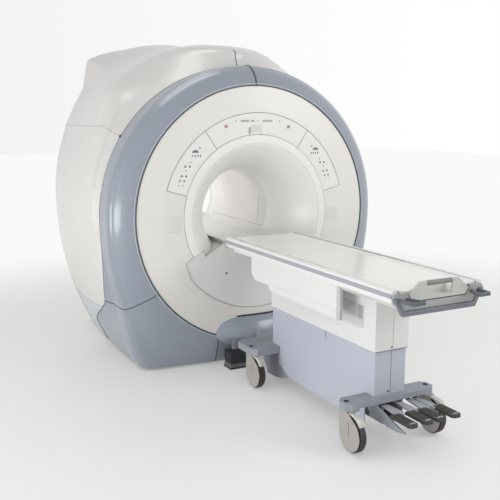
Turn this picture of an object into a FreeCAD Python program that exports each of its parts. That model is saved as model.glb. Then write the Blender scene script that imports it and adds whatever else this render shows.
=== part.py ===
import FreeCAD, Part
import os
from math import radians, sin, cos, sqrt, atan2, hypot

# Magnetic resonance scanner: a fixed gantry and a wheeled patient table docked to its front.
# Millimetres. Origin: on the floor, below the middle of the bore. +Z up, +Y from the table into
# the bore, +X to the right of someone who stands at the table's foot and faces the bore.

V = FreeCAD.Vector
X, Y, Z = V(1, 0, 0), V(0, 1, 0), V(0, 0, 1)

# ---------------------------------------------------------------- gantry: driving sizes
bore_z = 1070.0            # height of the bore's axis over the floor
gantry_half = 860.0        # from the middle to the rim of the front cover, and to the back
bore_r = 300.0             # patient bore
seam = 0.9                 # shut line between neighbouring covers
flatness = 1e-4            # what counts as flat when a strip of a moulded skin is made
seat_gap = 0.3             # between a carrier and a piece that is screwed or laid on it
over = 1.0                 # cutting tools and joined shapes run past each other by this much
beyond = 3000.0            # cutting tools that take away everything on one side reach this far
cover_wall = 12.0          # moulded covers
floor_gap = 16.0           # covers end this far above the floor
round_sides = 72           # flats round the bore on the pieces that show
rear_sides = 36            # flats round the rear mouth
hidden_sides = 24          # flats round the rings that the covers hide
small_sides = 24           # flats round buttons and round bushings

# front cover, a shallow dish with the panels let into it
fascia_rim_r = 895.0
fascia_flat_r = 722.0      # inside this radius the cover is flat and stands proud
fascia_proud = 17.0
panel_r = 715.0            # outer arc of the control panels
panel_wall = 6.0
panel_dividers = (163.5, 124.0, 55.5, 15.0)     # degrees round the bore, from +X
divider_gap = 0.1          # degrees, half the gap between two panels
rim_lip = 7.0              # blue-grey lip round the front cover's rim
collar_r = 563.0           # outer edge of the collar round the mouth
collar_wall = 5.0
collar_lap = 33.0          # how far the collar covers the edge of the hole behind it
mouth_r = 496.5            # where the flat collar turns into the trumpet
liner_half = 470.0         # half length of the straight bore liner
funnel_wall = 6.0
funnel_bands = 3
window_wall = 5.0
window_gap = 0.5
side_window = (628.0, 46.0, 990.0, 1096.0)      # x of the middle, half width, z limits
top_window = (-50.0, 32.0, 1652.0, 1700.0)      # x and z limits
button_r = 11.0
button_travel = 4.0
button_gap = 0.5
button_places = ((669.0, 111.6), (663.0, 68.3))  # radius and degrees round the bore

# apron below the mouth: its upper edge from left to right, then an arc round the bore
apron_r = 665.0
apron_depth = 9.0
apron_end_angle = 39.0     # below the bore's axis
apron_edge = ((-556.0, 768.0), (-494.0, 815.0), (-421.0, 845.0), (-412.0, 808.0), (-262.0, 898.0),
              (-250.0, 858.0))

# dock housing: half width, how far its front is drawn back, and height, from below upwards
dock_reach = 93.0          # how far the housing stands ahead of the front cover
dock_sides = 10
dock_side_growth = 3.0     # growth at the sides for each millimetre of growth at the front
dock_levels = ((250.0, 55.0, 150.0), (330.0, 0.0, 225.0), (300.0, 30.0, 308.0), (205.0, 84.0, 350.0))
dock_foot_x = 200.0
dock_foot_reach = (108.0, 3.0)      # floor plates, ahead of the front cover
dock_foot_half = 75.0
dock_foot_plate = 18.0
dock_stem = 32.0
dock_stem_reach = 28.0

# magnet and coils inside
vessel_r = 900.0
vessel_bore_r = 455.0
vessel_clear = 90.0        # between the vessel's ends and the outsides of the covers
gradient_bore_r = 350.0
gradient_half = 600.0
liner_wall = 8.0
bridge_top = 868.0         # sliding surface of the bridge in the bore
bridge_wall = 14.0
ledge_top = 905.0
ledge_width = 8.0
post_r = 820.0             # posts that carry the front and rear covers
post_half = 25.0
post_angles = (35.0, 145.0, 215.0, 325.0)
base_half_x = 690.0
base_inset = 230.0         # the base ends this far inside the vessel's ends
base_plate = 40.0
saddle_inset = 320.0       # middles of the saddles, from the vessel's ends
saddle_half_y = 60.0
saddle_half_x = 560.0
saddle_top = 420.0
cold_head_y = 430.0
cold_head_r = 95.0
turret_half = 150.0
turret_height = 90.0
cold_head_height = 220.0

# ---------------------------------------------------------------- table: driving sizes
table_gap = 69.0           # between the flat of the front cover and the table top's near end
deck_length = 1798.0
deck_half = 286.0
rail_inner = 252.0
rail_top = 943.0
rail_bottom = 886.0
rail_bevel = 7.0
cradle_half = 246.0
cradle_bottom_half = 210.0
cradle_top = 940.0
cradle_bottom = 878.0
cradle_dish = 6.0
cradle_border = 14.0
frame_bottom = 838.0
frame_half = 222.0
flange_half = 283.0
flange_wall = 8.0
trough_half = 230.0
trough_floor_wall = 12.0
frame_hollow = (120.0, 205.0)       # |x| limits of the hollow below each side of the trough
hollow_end = 60.0
flare_gap = 21.0           # between the flared underside at the foot end and the side panels
end_cap_depth = 24.0
end_cap_bottom = 811.0
end_cap_bottom_half = 232.0
end_cap_shoulder = 905.0   # above this the cap has straight sides
end_cap_wall = 27.0
panel_outer = 240.0        # |x| of the side panels below the rails
panel_reach = (1295.0, 288.0)       # reaches are measured from the table top's near end
panel_bottom = 671.0
panel_step_z = 706.0
panel_step_reach = 537.0
panel_notch = (48.0, 34.0)
ridge_proud = 3.0
ridge_height = 14.0
pedestal_half = 112.0
pedestal_reach = (1460.0, 334.0)
upper_wall = 5.0
lower_wall = 4.0
telescope_gap = 3.0
upper_cover_bottom = 513.0
lower_cover_bottom = 82.0
lower_cover_top = 540.0
recess_reach = (1355.0, 1149.0)
recess_z = (620.0, 752.0)
recess_depth = 3.0
guide_half = 42.0
guide_wall = 4.0
guide_top = 520.0
ram_bottom = 362.0
guide_reach = (614.0, 1180.0)
beam_top = 260.0
beam_bottom = 215.0
beam_half = 300.0
beam_corner = 30.0
beam_wall = 12.0
front_beam_ends = (59.0, 56.0)      # ahead of the front casters' axis and behind it
rear_beam_ends = (88.0, 164.0)      # ahead of the rear casters' axis and behind it
beam_end = 75.0            # solid end that holds a caster
pedal_slot_top = 230.0
keel_half = 70.0
keel_bottom = 110.0
keel_wall = 8.0
keel_setback = 4.0
tongue_half = 60.0
tongue_z = (200.0, 250.0)
dock_gap = 0.5
skirt_wall = 8.0
skirt_x = 92.0
# skirts: (distance ahead of the casters' axis, z)
rear_skirt_line = ((-140.0, 249.0), (73.0, 249.0), (73.0, 141.0), (209.0, 83.0), (131.0, 49.0),
                   (40.0, 32.0), (-83.0, 24.0), (-140.0, 110.0))
front_skirt_line = ((-38.0, 249.0), (44.0, 249.0), (48.0, 212.0), (288.0, 146.0), (212.0, 131.0),
                    (136.0, 130.0), (-38.0, 170.0))

# handles at the foot end
handle_wall = 14.0
handle_gap = 5.0           # between the handle and the end cap's plate
handle_outline = ((-168.0, 881.0), (168.0, 881.0), (192.0, 914.0), (126.0, 972.0), (-126.0, 972.0),
                  (-192.0, 914.0))                                     # (x, z)
slot_half = 83.0
slot_z = (895.0, 945.0)
grip_lap = 5.0             # the sleeve stands this far outside the handle's bar
finger_depth = 45.0        # of the recess in the cradle behind the slot
push_grip_z = (886.0, 902.0)
push_grip_near = (200.0, 261.0)     # |x| limits at the end cap
push_grip_far = (161.0, 253.0)      # and at the far end
push_grip_reach = 91.0
push_grip_bar = 16.0
push_grip_bevel = 14.0

# casters
wheel_r = 97.5
wheel_width = 32.0
axle_r = 8.0
caster_trail = 65.0
caster_x = 272.0
caster_reach = (1432.0, 344.0)
stem_r = 10.0
running_gap = 0.05         # radial, in every turning joint
bearing_gap = 0.4          # axial, between a turning piece and what carries it
cheek_wall = 4.0
cheek_gap = 2.0
cheek_r = 90.0
yoke_bottom = 198.0
yoke_reach = (24.0, 44.0)  # behind and ahead of the swivel axis

# pedals
pedal_pads_x = (-84.0, 16.0, 98.0, 205.0)
pedal_arms_x = (-48.0, 46.0, 128.0, 175.0)
pedal_width = 60.0
pedal_pad_lead = (337.0, 174.0)    # ahead of the front casters' axis
pedal_pad_z = (198.0, 212.0)
pedal_nose = 14.0
pedal_arm_z = (203.0, 213.0)
pedal_arm_width = 24.0
pedal_pivot_lead = 17.0
pedal_pivot_z = 219.0
pedal_shaft_r = 6.0
pedal_boss = 9.0
hanger_x = (-80.0, 87.0, 196.0)
hanger_wall = 6.0
hanger_half = 12.0

# ---------------------------------------------------------------- places that follow
front_y = -gantry_half - fascia_proud           # flat, proud part of the front cover
cover_back = -gantry_half + cover_wall          # back face of the front cover
collar_hole_r = collar_r - collar_lap
deck_y1 = front_y - table_gap                   # table top's end near the gantry
deck_y0 = deck_y1 - deck_length                 # and its foot end
end_cap_y = deck_y0 - end_cap_depth
plate_y = deck_y0 - handle_wall                 # front of the end cap's plate, level with the handle
glide_z = cradle_bottom - seat_gap              # floor of the trough
dock_front = front_y - dock_reach
vessel_half = gantry_half - vessel_clear


def table_y(*reaches):
    """Places along the table, from their distances to the table top's near end."""
    return tuple(deck_y1 - reach for reach in reaches)


def skirt(axis, points):
    return [(deck_y1 - axis - lead, z) for lead, z in points]


panel_y = table_y(*panel_reach)
pedestal_y = table_y(*pedestal_reach)
front_axis, rear_axis = caster_reach
front_beam = table_y(front_axis + front_beam_ends[0], front_axis - front_beam_ends[1])
rear_beam = table_y(rear_axis + rear_beam_ends[0], rear_axis - rear_beam_ends[1])
rear_skirt, front_skirt = skirt(rear_axis, rear_skirt_line), skirt(front_axis, front_skirt_line)
pedal_pivot = (deck_y1 - front_axis - pedal_pivot_lead, pedal_pivot_z)
lower_half = pedestal_half - upper_wall - telescope_gap
lower_y = (pedestal_y[0] + upper_wall + telescope_gap, pedestal_y[1] - upper_wall - telescope_gap)

parts = {}


# ---------------------------------------------------------------- tools for shapes
def add(node, shape):
    parts[node] = shape


def box(x0, x1, y0, y1, z0, z1):
    return Part.makeBox(x1 - x0, y1 - y0, z1 - z0, V(x0, y0, z0))


def rod(x, y, z, radius, length, direction):
    return Part.makeCylinder(radius, length, V(x, y, z), direction)


def outline(points):
    return Part.makePolygon(points + [points[0]])


def widened(points, gap):
    """An (x, z) outline listed clockwise, with every edge moved outwards by the gap."""
    normals = []
    for (x0, z0), (x1, z1) in zip(points, points[1:] + points[:1]):
        length = hypot(x1 - x0, z1 - z0)
        normals.append(((z0 - z1) / length, (x1 - x0) / length))
    moved = []
    for (x, z), (ax, az), (bx, bz) in zip(points, normals[-1:] + normals[:-1], normals):
        reach = gap / (1 + ax * bx + az * bz)
        moved.append((x + reach * (ax + bx), z + reach * (az + bz)))
    return moved


def plate_along_y(points, y0, y1):
    """A plate with an (x, z) outline, from y0 to y1."""
    return Part.Face(outline([V(x, y0, z) for x, z in points])).extrude(V(0, y1 - y0, 0))


def plate_along_x(points, x0, x1):
    """A plate with a (y, z) outline, from x0 to x1."""
    return Part.Face(outline([V(x0, y, z) for y, z in points])).extrude(V(x1 - x0, 0, 0))


def plate_along_z(points, z0, z1):
    """A plate with an (x, y) outline, from z0 to z1."""
    return Part.Face(outline([V(x, y, z0) for x, y in points])).extrude(V(0, 0, z1 - z0))


def ring(u, v, radius, sides):
    """Corners of a regular polygon round (u, v), as pairs."""
    turns = [radians(360 * i / sides) for i in range(sides)]
    return [(u + radius * cos(t), v + radius * sin(t)) for t in turns]


def bushing(u, v, radius):
    """Corners of a hole with flats that clears a round pin by the running gap."""
    return ring(u, v, (radius + running_gap) / cos(radians(180 / small_sides)), small_sides)


def both_sides(right):
    """A closed (x, z) outline from its right half."""
    return right + [(-x, z) for x, z in reversed(right)]


def polar(radius, degrees, y):
    return V(radius * cos(radians(degrees)), y, bore_z + radius * sin(radians(degrees)))


def skin(rows):
    """A closed solid through rows of points, each a closed outline at one y or z.
    A strip between two rows is made of flat four-sided or, where it twists, three-sided faces."""
    faces = [Part.Face(outline(rows[0])), Part.Face(outline(rows[-1]))]
    for near, far in zip(rows, rows[1:]):
        for i in range(len(near)):
            a, b, c, d = near[i - 1], near[i], far[i], far[i - 1]
            normal = (c - a).cross(d - b)
            if abs(normal.normalize().dot(b - a)) < flatness:
                faces.append(Part.Face(outline([a, b, c, d])))
            else:
                faces += [Part.Face(outline([a, b, c])), Part.Face(outline([a, c, d]))]
    return Part.makeSolid(Part.makeShell(faces))


def turned(profile, sides):
    """A solid about the bore's axis through (radius, y) pairs, with flat sides."""
    return skin([[polar(radius, 360 * i / sides, y) for i in range(sides)] for radius, y in profile])


def hole(profile, sides):
    """The same, with its flats outside the radii, for something round to pass."""
    return turned([(radius / cos(radians(180 / sides)), y) for radius, y in profile], sides)


def bend(radius, a0, a1, y):
    """Points on an arc round the bore's axis, as far apart as the flats of the visible rings."""
    steps = max(1, round(abs(a1 - a0) * round_sides / 360))
    return [polar(radius, a0 + (a1 - a0) * i / steps, y) for i in range(steps + 1)]


def sector(r0, r1, a0, a1, y0, y1):
    """A piece of a disc round the bore's axis, between two radii and two angles."""
    points = bend(r1, a0, a1, y0) + bend(r0, a1, a0, y0)
    return Part.Face(outline(points)).extrude(V(0, y1 - y0, 0))


def smooth(points, count, start=None, end=None):
    """A number of evenly spaced points along a smooth curve through the given ones."""
    curve = Part.BSplineCurve()
    if start is None:
        curve.interpolate(points)
    else:
        curve.interpolate(Points=points, InitialTangent=start, FinalTangent=end)
    return curve.toShape().discretize(Number=count + 1)


def mirrored(shape):
    return shape.mirror(V(0, 0, 0), X)


def fused(shapes):
    return shapes[0].fuse(shapes[1:]).removeSplitter() if len(shapes) > 1 else shapes[0]


def add_pair(name, right):
    add(name + "_right", right)
    add(name + "_left", mirrored(right))


# ---------------------------------------------------------------- bezel, feet and toe
# Each row is one upright section through the blue-grey body: how far it lies behind the front
# rim, the radius of its upper half round the bore, and radii at 17, 33, 53, 70 and 90 degrees
# below the bore's axis.
bezel_depth = 300.0
foot_length = 710.0        # of the foot covers behind the ring
bezel_profile = (
    (0.0,) + (fascia_rim_r + rim_lip,) * 6,
    (32.0, 973.0, 981.0, 1000.0, 1030.0, 1010.0, 980.0),
    (80.0, 1031.0, 1049.0, 1092.0, 1186.0, 1150.0, 1100.0),
    (150.0, 1060.0, 1083.0, 1152.0, 1336.0, 1252.0, 1176.0),
    (bezel_depth, 1053.0, 1079.0, 1153.0, 1343.0, 1256.0, 1180.0),
    (bezel_depth + foot_length, 1053.0, 1079.0, 1153.0, 1343.0, 1256.0, 1180.0))
bezel_back = -gantry_half + bezel_depth
foot_back = bezel_back + foot_length
bezel_rows = [(-gantry_half + row[0],) + row[1:] for row in bezel_profile]
bezel_inner_rows = bezel_rows[:1] + bezel_rows[2:]
bezel_angles = (-17.0, -33.0, -52.8, -70.0, -90.0)
hollow_upper_angles = (90.0, 75.0, 60.0, 45.0, 30.0, 15.0)
bezel_lower_flats = 14
bezel_seam = ((560.0, 688.0), (741.0, 580.0), (944.0, 470.0), (beyond, 470.0))   # (x, z)
toe_half = 305.0
toe_depth = 160.0
foot_rear_line = ((0.0, 500.0), (120.0, 460.0), (590.0, 213.0), (697.0, -60.0))   # (behind the ring, z)


def body_section(row):
    """Half of the blue-grey body's outline: an arc above the bore's axis, a curve below it."""
    y, r = row[0], row[1]
    lower = [polar(r, 0, y)] + [polar(value, angle, y) for value, angle in zip(row[2:], bezel_angles)]
    return bend(r, 90, 0, y) + smooth(lower, bezel_lower_flats, -Z, -X)[1:]


def body_hollow(row):
    """The hollow's outline in the same place, with fewer flats."""
    y, r = row[0] + cover_wall, row[1] - cover_wall
    points = [polar(r, angle, y) for angle in hollow_upper_angles + (0.0,)]
    points += [polar(value - cover_wall, angle, y) for value, angle in zip(row[2:], bezel_angles)]
    return points + [V(-cover_wall, y, points[-1].z), V(-cover_wall, y, points[0].z)]


def foot_reach(margin):
    """What lies ahead of the foot covers' slanting rear edge, seen from the side."""
    edge = [(bezel_back + behind, z) for behind, z in foot_rear_line]
    points = [(-beyond, edge[-1][1]), (-beyond, edge[0][1])] + edge
    return plate_along_x([(y + margin, z + margin) for y, z in points], 0, beyond)


def bezel_and_feet():
    outer = skin([body_section(row) for row in bezel_rows])
    body = outer.cut(skin([body_hollow(row) for row in bezel_inner_rows]))
    rim = fascia_rim_r + seam
    body = body.cut(hole([(rim, -beyond), (rim, cover_back + seam)], round_sides))
    g = seam / 2
    upper = [(g, beyond), (beyond, beyond)] + [(x, z + g) for x, z in reversed(bezel_seam)]
    upper += [(g, bezel_seam[0][1] + g)]
    lower = [(toe_half + g, floor_gap), (beyond, floor_gap)] + [(x, z - g) for x, z in reversed(bezel_seam)]
    lower += [(toe_half + g, bezel_seam[0][1] - g)]
    add_pair("bezel", body.common(plate_along_y(upper, -beyond, bezel_back)))
    add_pair("foot_cover", body.common(plate_along_y(lower, -beyond, foot_back)).common(foot_reach(0.0)))
    toe = body.common(box(-over, toe_half - g, -beyond, toe_depth - gantry_half, floor_gap, bore_z))
    add("toe_cover", fused([toe, mirrored(toe)]))


# ---------------------------------------------------------------- white covers
# Each row is one upright section through the white shell: how far back it lies as a share of the
# shell's length, the half width at the bore's height, then the radii at the side seam, at 45, 58,
# 74 and 90 degrees, and the half width at the floor.
rear_round = 60.0          # the rear cover's rounding from the shell's back edge to its flat
shell_front = bezel_back + seam
shell_back = gantry_half - rear_round
shell_profile = (
    (0.0, 1056.0, 1057.0, 1058.0, 1058.0, 1059.0, 1059.0, 818.0),
    (0.02, 1093.0, 1099.0, 1105.0, 1110.0, 1113.0, 1115.0, 820.0),
    (0.0582, 1118.0, 1129.0, 1140.0, 1150.0, 1155.0, 1158.0, 821.0),
    (0.1686, 1132.0, 1147.0, 1162.0, 1176.0, 1184.0, 1188.0, 821.0),
    (0.485, 1130.0, 1151.0, 1169.0, 1194.0, 1210.0, 1219.0, 818.0),
    (0.7057, 1103.0, 1134.0, 1162.0, 1238.0, 1244.0, 1250.0, 802.0),
    (1.0, 1020.0, 1103.0, 1160.0, 1347.0, 1308.0, 1302.0, 760.0))
shell_rows = [(shell_front + row[0] * (shell_back - shell_front),) + row[1:] for row in shell_profile]
shell_inner_rows = (shell_rows[0], shell_rows[2], shell_rows[4], shell_rows[5], shell_rows[6])
seam_angles = (29.5, 33.8)      # of the side seam, at the shell's front and back
shoulder_angles = (45.0, 58.0)
crown_angles = (58.0, 74.0, 90.0)
side_heights = (floor_gap, 360.0, 720.0, bore_z)
shell_flats = (4, 5, 4, 5)      # along the side, flank, shoulder and crown
cover_skirt = 430.0        # lower edge of the white side covers
plinth_inset = 8.0


def seam_angle(y):
    share = (y - shell_front) / (shell_back - shell_front)
    return seam_angles[0] + share * (seam_angles[1] - seam_angles[0])


def side_x(half_width, floor_half, z):
    """The side leans in below the bore's height, on an arc that is upright at that height."""
    lean = half_width - floor_half
    radius = (lean ** 2 + bore_z ** 2) / (2 * lean)
    return half_width - radius + sqrt(radius ** 2 - (bore_z - z) ** 2)


def shell_chains(row, inset):
    """The right half of one section, as four chains of points from the floor to the top."""
    y, width, floor_half = row[0], row[1] - inset, row[7] - inset
    angle = seam_angle(y)
    bulge = width + (row[2] - inset - width) * 0.3
    seam_r = row[2] - inset
    side = [V(side_x(width, floor_half, z), y, z) for z in side_heights]
    flank = [polar(width, 0, y), polar(bulge, angle / 2, y), polar(seam_r, angle, y)]
    shoulder = [flank[-1]] + [polar(row[i + 3] - inset, a, y) for i, a in enumerate(shoulder_angles)]
    crown = [polar(row[i + 4] - inset, a, y) for i, a in enumerate(crown_angles)]
    return side, flank, shoulder, crown


def shell_skin(row, inset):
    chains = shell_chains(row, inset)
    points = [chains[0][0]]
    for chain, flats in zip(chains, shell_flats):
        points += smooth(chain, flats)[1:]
    return points


def shell_section(row, inset):
    points = shell_skin(row, inset)
    return points + [V(0, row[0], points[0].z)]


def shell_hollow(row, inset):
    """The hollow's outline, with straight sides, open below and towards the other half."""
    side, flank, shoulder, crown = shell_chains(row, inset)
    top, low = crown[-1], side[0]
    points = [V(low.x, low.y, -cover_wall)] + side + flank[1:] + shoulder[1:] + crown[1:-1]
    return points + [top, V(-cover_wall, top.y, top.z), V(-cover_wall, low.y, -cover_wall)]


def white_shell(inset):
    outer = skin([shell_section(row, inset) for row in shell_rows])
    return outer.cut(skin([shell_hollow(row, inset + cover_wall) for row in shell_inner_rows]))


def above_seam(margin):
    """Everything above the slanting side seam, which rises a little towards the back."""
    rows = []
    for y in (shell_front - over, shell_back + over):
        angle = radians(seam_angle(y))
        lift = V(-sin(angle), 0, cos(angle)) * margin
        inner, outer = polar(vessel_r, seam_angle(y), y) + lift, polar(2 * vessel_r, seam_angle(y), y) + lift
        rows.append([inner, outer, V(outer.x, y, beyond), V(-cover_wall, y, beyond),
                     V(-cover_wall, y, inner.z)])
    return skin(rows)


def white_covers():
    g = seam / 2
    shell = white_shell(0.0).cut(foot_reach(seam))
    add_pair("top_cover", shell.common(above_seam(g)).cut(box(-beyond, g, -beyond, beyond, 0, beyond)))
    side = shell.common(box(0, beyond, -beyond, beyond, cover_skirt + g, beyond)).cut(above_seam(-g))
    add_pair("side_cover", side)
    plinth = white_shell(plinth_inset).cut(foot_reach(seam))
    add_pair("plinth", plinth.common(box(0, beyond, -beyond, beyond, floor_gap, cover_skirt - g)))


# ---------------------------------------------------------------- rear cover
def back_section(y, inset):
    """The whole outline of the shell's back edge."""
    right = [V(p.x, y, p.z) for p in shell_skin(shell_rows[-1], inset)]
    return right + [V(-p.x, y, p.z) for p in reversed(right[:-1])]


def rear_cover():
    start = shell_back + seam
    solid = skin([back_section(start, 0), back_section(gantry_half, rear_round)])
    chains = shell_chains(shell_rows[-1], rear_round + cover_wall)
    right = [(p.x, p.z) for chain in chains for p in chain[1:]]
    hollow = right + [(-x, z) for x, z in reversed(right[:-1])]
    solid = solid.cut(plate_along_y(hollow, start - over, gantry_half - cover_wall))
    opening = hole([(collar_hole_r, 0), (collar_hole_r, beyond)], hidden_sides)
    add("rear_cover", solid.cut(opening))


# ---------------------------------------------------------------- front cover and its panels
def apron_shape(grow, y0, y1):
    """The apron's outline: straight upper edges and an arc round the bore below."""
    points = list(apron_edge) + [(-x, z) for x, z in reversed(apron_edge)]
    points += [(p.x, p.z) for p in bend(apron_r, -apron_end_angle, -180 + apron_end_angle, y0)]
    return plate_along_y(widened(points, grow), y0, y1)


def dock_body(grow):
    """The dock housing's outside, or the room it needs when it grows by a shut line.
    Its sides meet the cover at a flat angle, so their ends move further than its front."""
    back, aside = -gantry_half - seam, dock_side_growth * grow

    def section(half, drawn_back, z):
        front = dock_front + drawn_back - grow
        curve = Part.Arc(V(-half - aside, back, z), V(0, front, z), V(half + aside, back, z)).toShape()
        return curve.discretize(Number=dock_sides + 1)
    (low_half, low_back, low_z), *middle, (top_half, top_back, top_z) = dock_levels
    levels = [(low_half, low_back, low_z - grow)] + middle + [(top_half, top_back, top_z + grow)]
    return skin([section(*level) for level in levels])


def window_boxes(grow):
    x, half, z0, z1 = side_window
    places = [(-x - half, -x + half, z0, z1), (x - half, x + half, z0, z1), top_window]
    return [box(x0 - grow, x1 + grow, front_y - grow, front_y + window_wall, z0 - grow, z1 + grow)
            for x0, x1, z0, z1 in places]


def front_cover():
    disc = turned([(fascia_flat_r, front_y), (fascia_rim_r, -gantry_half), (fascia_rim_r, cover_back)],
                  round_sides)
    disc = disc.cut(hole([(collar_hole_r, -beyond), (collar_hole_r, 0)], hidden_sides))
    pocket = sector(collar_r - collar_lap / 2, panel_r + seam, panel_dividers[3] - divider_gap,
                    panel_dividers[0] + divider_gap, -beyond, front_y + panel_wall)
    for cutter in [pocket] + window_boxes(window_gap):
        disc = disc.cut(cutter)
    disc = disc.cut(apron_shape(seam, -beyond, front_y + apron_depth))
    add("front_cover", disc.cut(dock_body(seam)))


def button_disc(radius, angle, size, y0, y1):
    middle = polar(radius, angle, y0)
    return plate_along_y(ring(middle.x, middle.z, size, small_sides), y0, y1)


def panels():
    y0, y1 = front_y, front_y + panel_wall
    names = ("control_panel_left", "display_panel", "control_panel_right")
    for name, a1, a0 in zip(names, panel_dividers, panel_dividers[1:]):
        panel = sector(collar_r + seam, panel_r, a0 + divider_gap, a1 - divider_gap, y0, y1)
        if name == "display_panel":
            panel = panel.cut(window_boxes(window_gap)[2])
            for radius, angle in button_places:
                panel = panel.cut(button_disc(radius, angle, button_r + button_gap, y0 - over, y1 + over))
        add(name, panel)


def windows_and_buttons():
    add("laser_windows", Part.makeCompound(window_boxes(0.0)))
    for name, (radius, angle) in zip(("stop_button", "light_button"), button_places):
        add(name, button_disc(radius, angle, button_r, front_y - button_travel - over, front_y + over))


def funnel(y_face, direction, sides):
    """A trumpet from the collar on a cover's face to the liner, as a row of cones.
    direction is +1 where the trumpet narrows towards +Y and -1 where it narrows towards -Y."""
    y_mouth = y_face - direction * collar_wall
    y_neck = -direction * liner_half
    run, rise = abs(y_neck - y_mouth), mouth_r - bore_r
    curve_r = (rise ** 2 + run ** 2) / (2 * rise)
    turn = 2 * atan2(rise, run)

    def wall_points(offset):
        r = curve_r - offset
        angles = [turn * i / funnel_bands for i in range(funnel_bands)]
        return [(bore_r + curve_r - r * cos(a), y_neck - direction * r * sin(a)) for a in angles]

    def along(profile):
        return profile if direction < 0 else profile[::-1]

    collar = turned([(collar_r, y_mouth), (collar_r, y_face)], sides)
    trumpet = turned(along(wall_points(funnel_wall) + [(mouth_r + funnel_wall, y_face)]), hidden_sides)
    return fused([collar, trumpet]).cut(hole(along(wall_points(0.0) + [(mouth_r, y_mouth)]), sides))


def mouths():
    front = funnel(front_y, 1, round_sides)
    add("front_funnel", front.cut(apron_shape(seam, -beyond, front_y + apron_depth)))
    add("rear_funnel", funnel(gantry_half, -1, rear_sides))


def apron():
    add("apron", apron_shape(0.0, front_y + apron_depth - panel_wall, front_y + apron_depth))


# ---------------------------------------------------------------- magnet, coils, bore
def cover_posts():
    """Posts on both ends of the vessel that reach the front and rear covers."""
    posts = []
    for angle in post_angles:
        p = polar(post_r, angle, 0)
        x0, x1, z0, z1 = p.x - post_half, p.x + post_half, p.z - post_half, p.z + post_half
        posts.append(box(x0, x1, cover_back + seat_gap, -vessel_half, z0, z1))
        posts.append(box(x0, x1, vessel_half, gantry_half - cover_wall - seat_gap, z0, z1))
    return posts


def magnet_group():
    vessel = turned([(vessel_r, -vessel_half), (vessel_r, vessel_half)], hidden_sides)
    vessel = vessel.cut(hole([(vessel_bore_r, -beyond), (vessel_bore_r, beyond)], hidden_sides))
    add("magnet_vessel", fused([vessel] + cover_posts()))
    coil_r = vessel_bore_r - seat_gap
    coil = hole([(coil_r, -gradient_half), (coil_r, gradient_half)], hidden_sides)
    add("gradient_coil", coil.cut(hole([(gradient_bore_r, -vessel_half), (gradient_bore_r, vessel_half)],
                                       hidden_sides)))
    liner = turned([(bore_r + liner_wall, -liner_half), (bore_r + liner_wall, liner_half)], hidden_sides)
    add("bore_liner", liner.cut(rod(0, -beyond, bore_z, bore_r, 2 * beyond, Y)))


def chord(z):
    """Half the bore's width at a height."""
    return sqrt(bore_r ** 2 - (bore_z - z) ** 2) - seat_gap


def bridge():
    """The sliding bridge on the bore's floor, with a raised ledge along each side."""
    right = [(chord(bridge_top - bridge_wall), bridge_top - bridge_wall), (chord(bridge_top), bridge_top),
             (chord(ledge_top), ledge_top), (chord(ledge_top) - ledge_width, ledge_top),
             (chord(bridge_top) - ledge_width, bridge_top)]
    add("bore_bridge", plate_along_y(both_sides(right), cover_back, -cover_back))


def vessel_clearance():
    room = vessel_r + seat_gap
    return turned([(room, -vessel_half), (room, vessel_half)], hidden_sides)


def base_frame():
    half_y, saddle_y = vessel_half - base_inset, vessel_half - saddle_inset
    frame = [box(-base_half_x, base_half_x, -half_y, half_y, 0, base_plate)]
    for y in (-saddle_y, saddle_y):
        frame.append(box(-saddle_half_x, saddle_half_x, y - saddle_half_y, y + saddle_half_y,
                         base_plate, saddle_top))
    add("base_frame", fused(frame).cut(vessel_clearance()))


def cold_head():
    top = bore_z + vessel_r
    turret = box(-turret_half, turret_half, cold_head_y - turret_half, cold_head_y + turret_half,
                 top - turret_height, top + turret_height)
    head = plate_along_z(ring(0, cold_head_y, cold_head_r, small_sides),
                         top + turret_height, top + cold_head_height)
    add("cold_head", fused([turret.cut(vessel_clearance()), head]))


# ---------------------------------------------------------------- dock
def dock():
    body = dock_body(0.0)
    add("dock_housing", body)
    feet = []
    half, stem_y, stem_top = dock_stem / 2, front_y - dock_stem_reach, dock_levels[1][2]
    for x in (-dock_foot_x, dock_foot_x):
        plate = box(x - dock_foot_half, x + dock_foot_half, front_y - dock_foot_reach[0],
                    front_y - dock_foot_reach[1], 0, dock_foot_plate)
        stem = box(x - half, x + half, stem_y - half, stem_y + half, dock_foot_plate, stem_top)
        feet.append(fused([plate, stem.cut(body)]))
    add("dock_feet", Part.makeCompound(feet))


# ---------------------------------------------------------------- table: chassis
def chassis_beam(y0, y1):
    half, c = beam_half, beam_corner
    beam = plate_along_z([(-half, y0 + c), (-half + c, y0), (half - c, y0), (half, y0 + c),
                          (half, y1 - c), (half - c, y1), (-half + c, y1), (-half, y1 - c)],
                         beam_bottom, beam_top)
    inner = beam_half - beam_end
    return beam.cut(box(-inner, inner, y0 + beam_wall, y1 - beam_wall,
                        beam_bottom - over, beam_top - beam_wall))


def keel():
    y0, y1 = front_beam[0] + keel_setback, rear_beam[1] - keel_setback
    channel = box(-keel_half, keel_half, y0, y1, keel_bottom, beam_bottom)
    inner = keel_half - keel_wall
    return channel.cut(box(-inner, inner, -beyond, beyond, keel_bottom + keel_wall, beyond))


def pedal_hangers():
    y, z = pedal_pivot
    shapes = [plate_along_x(ring(y, z, pedal_shaft_r, small_sides), hanger_x[0], hanger_x[-1])]
    for x in hanger_x:
        shapes.append(box(x - hanger_wall / 2, x + hanger_wall / 2, y - hanger_half, y + hanger_half,
                          z - hanger_half, beam_top - beam_wall))
    return shapes


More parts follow.
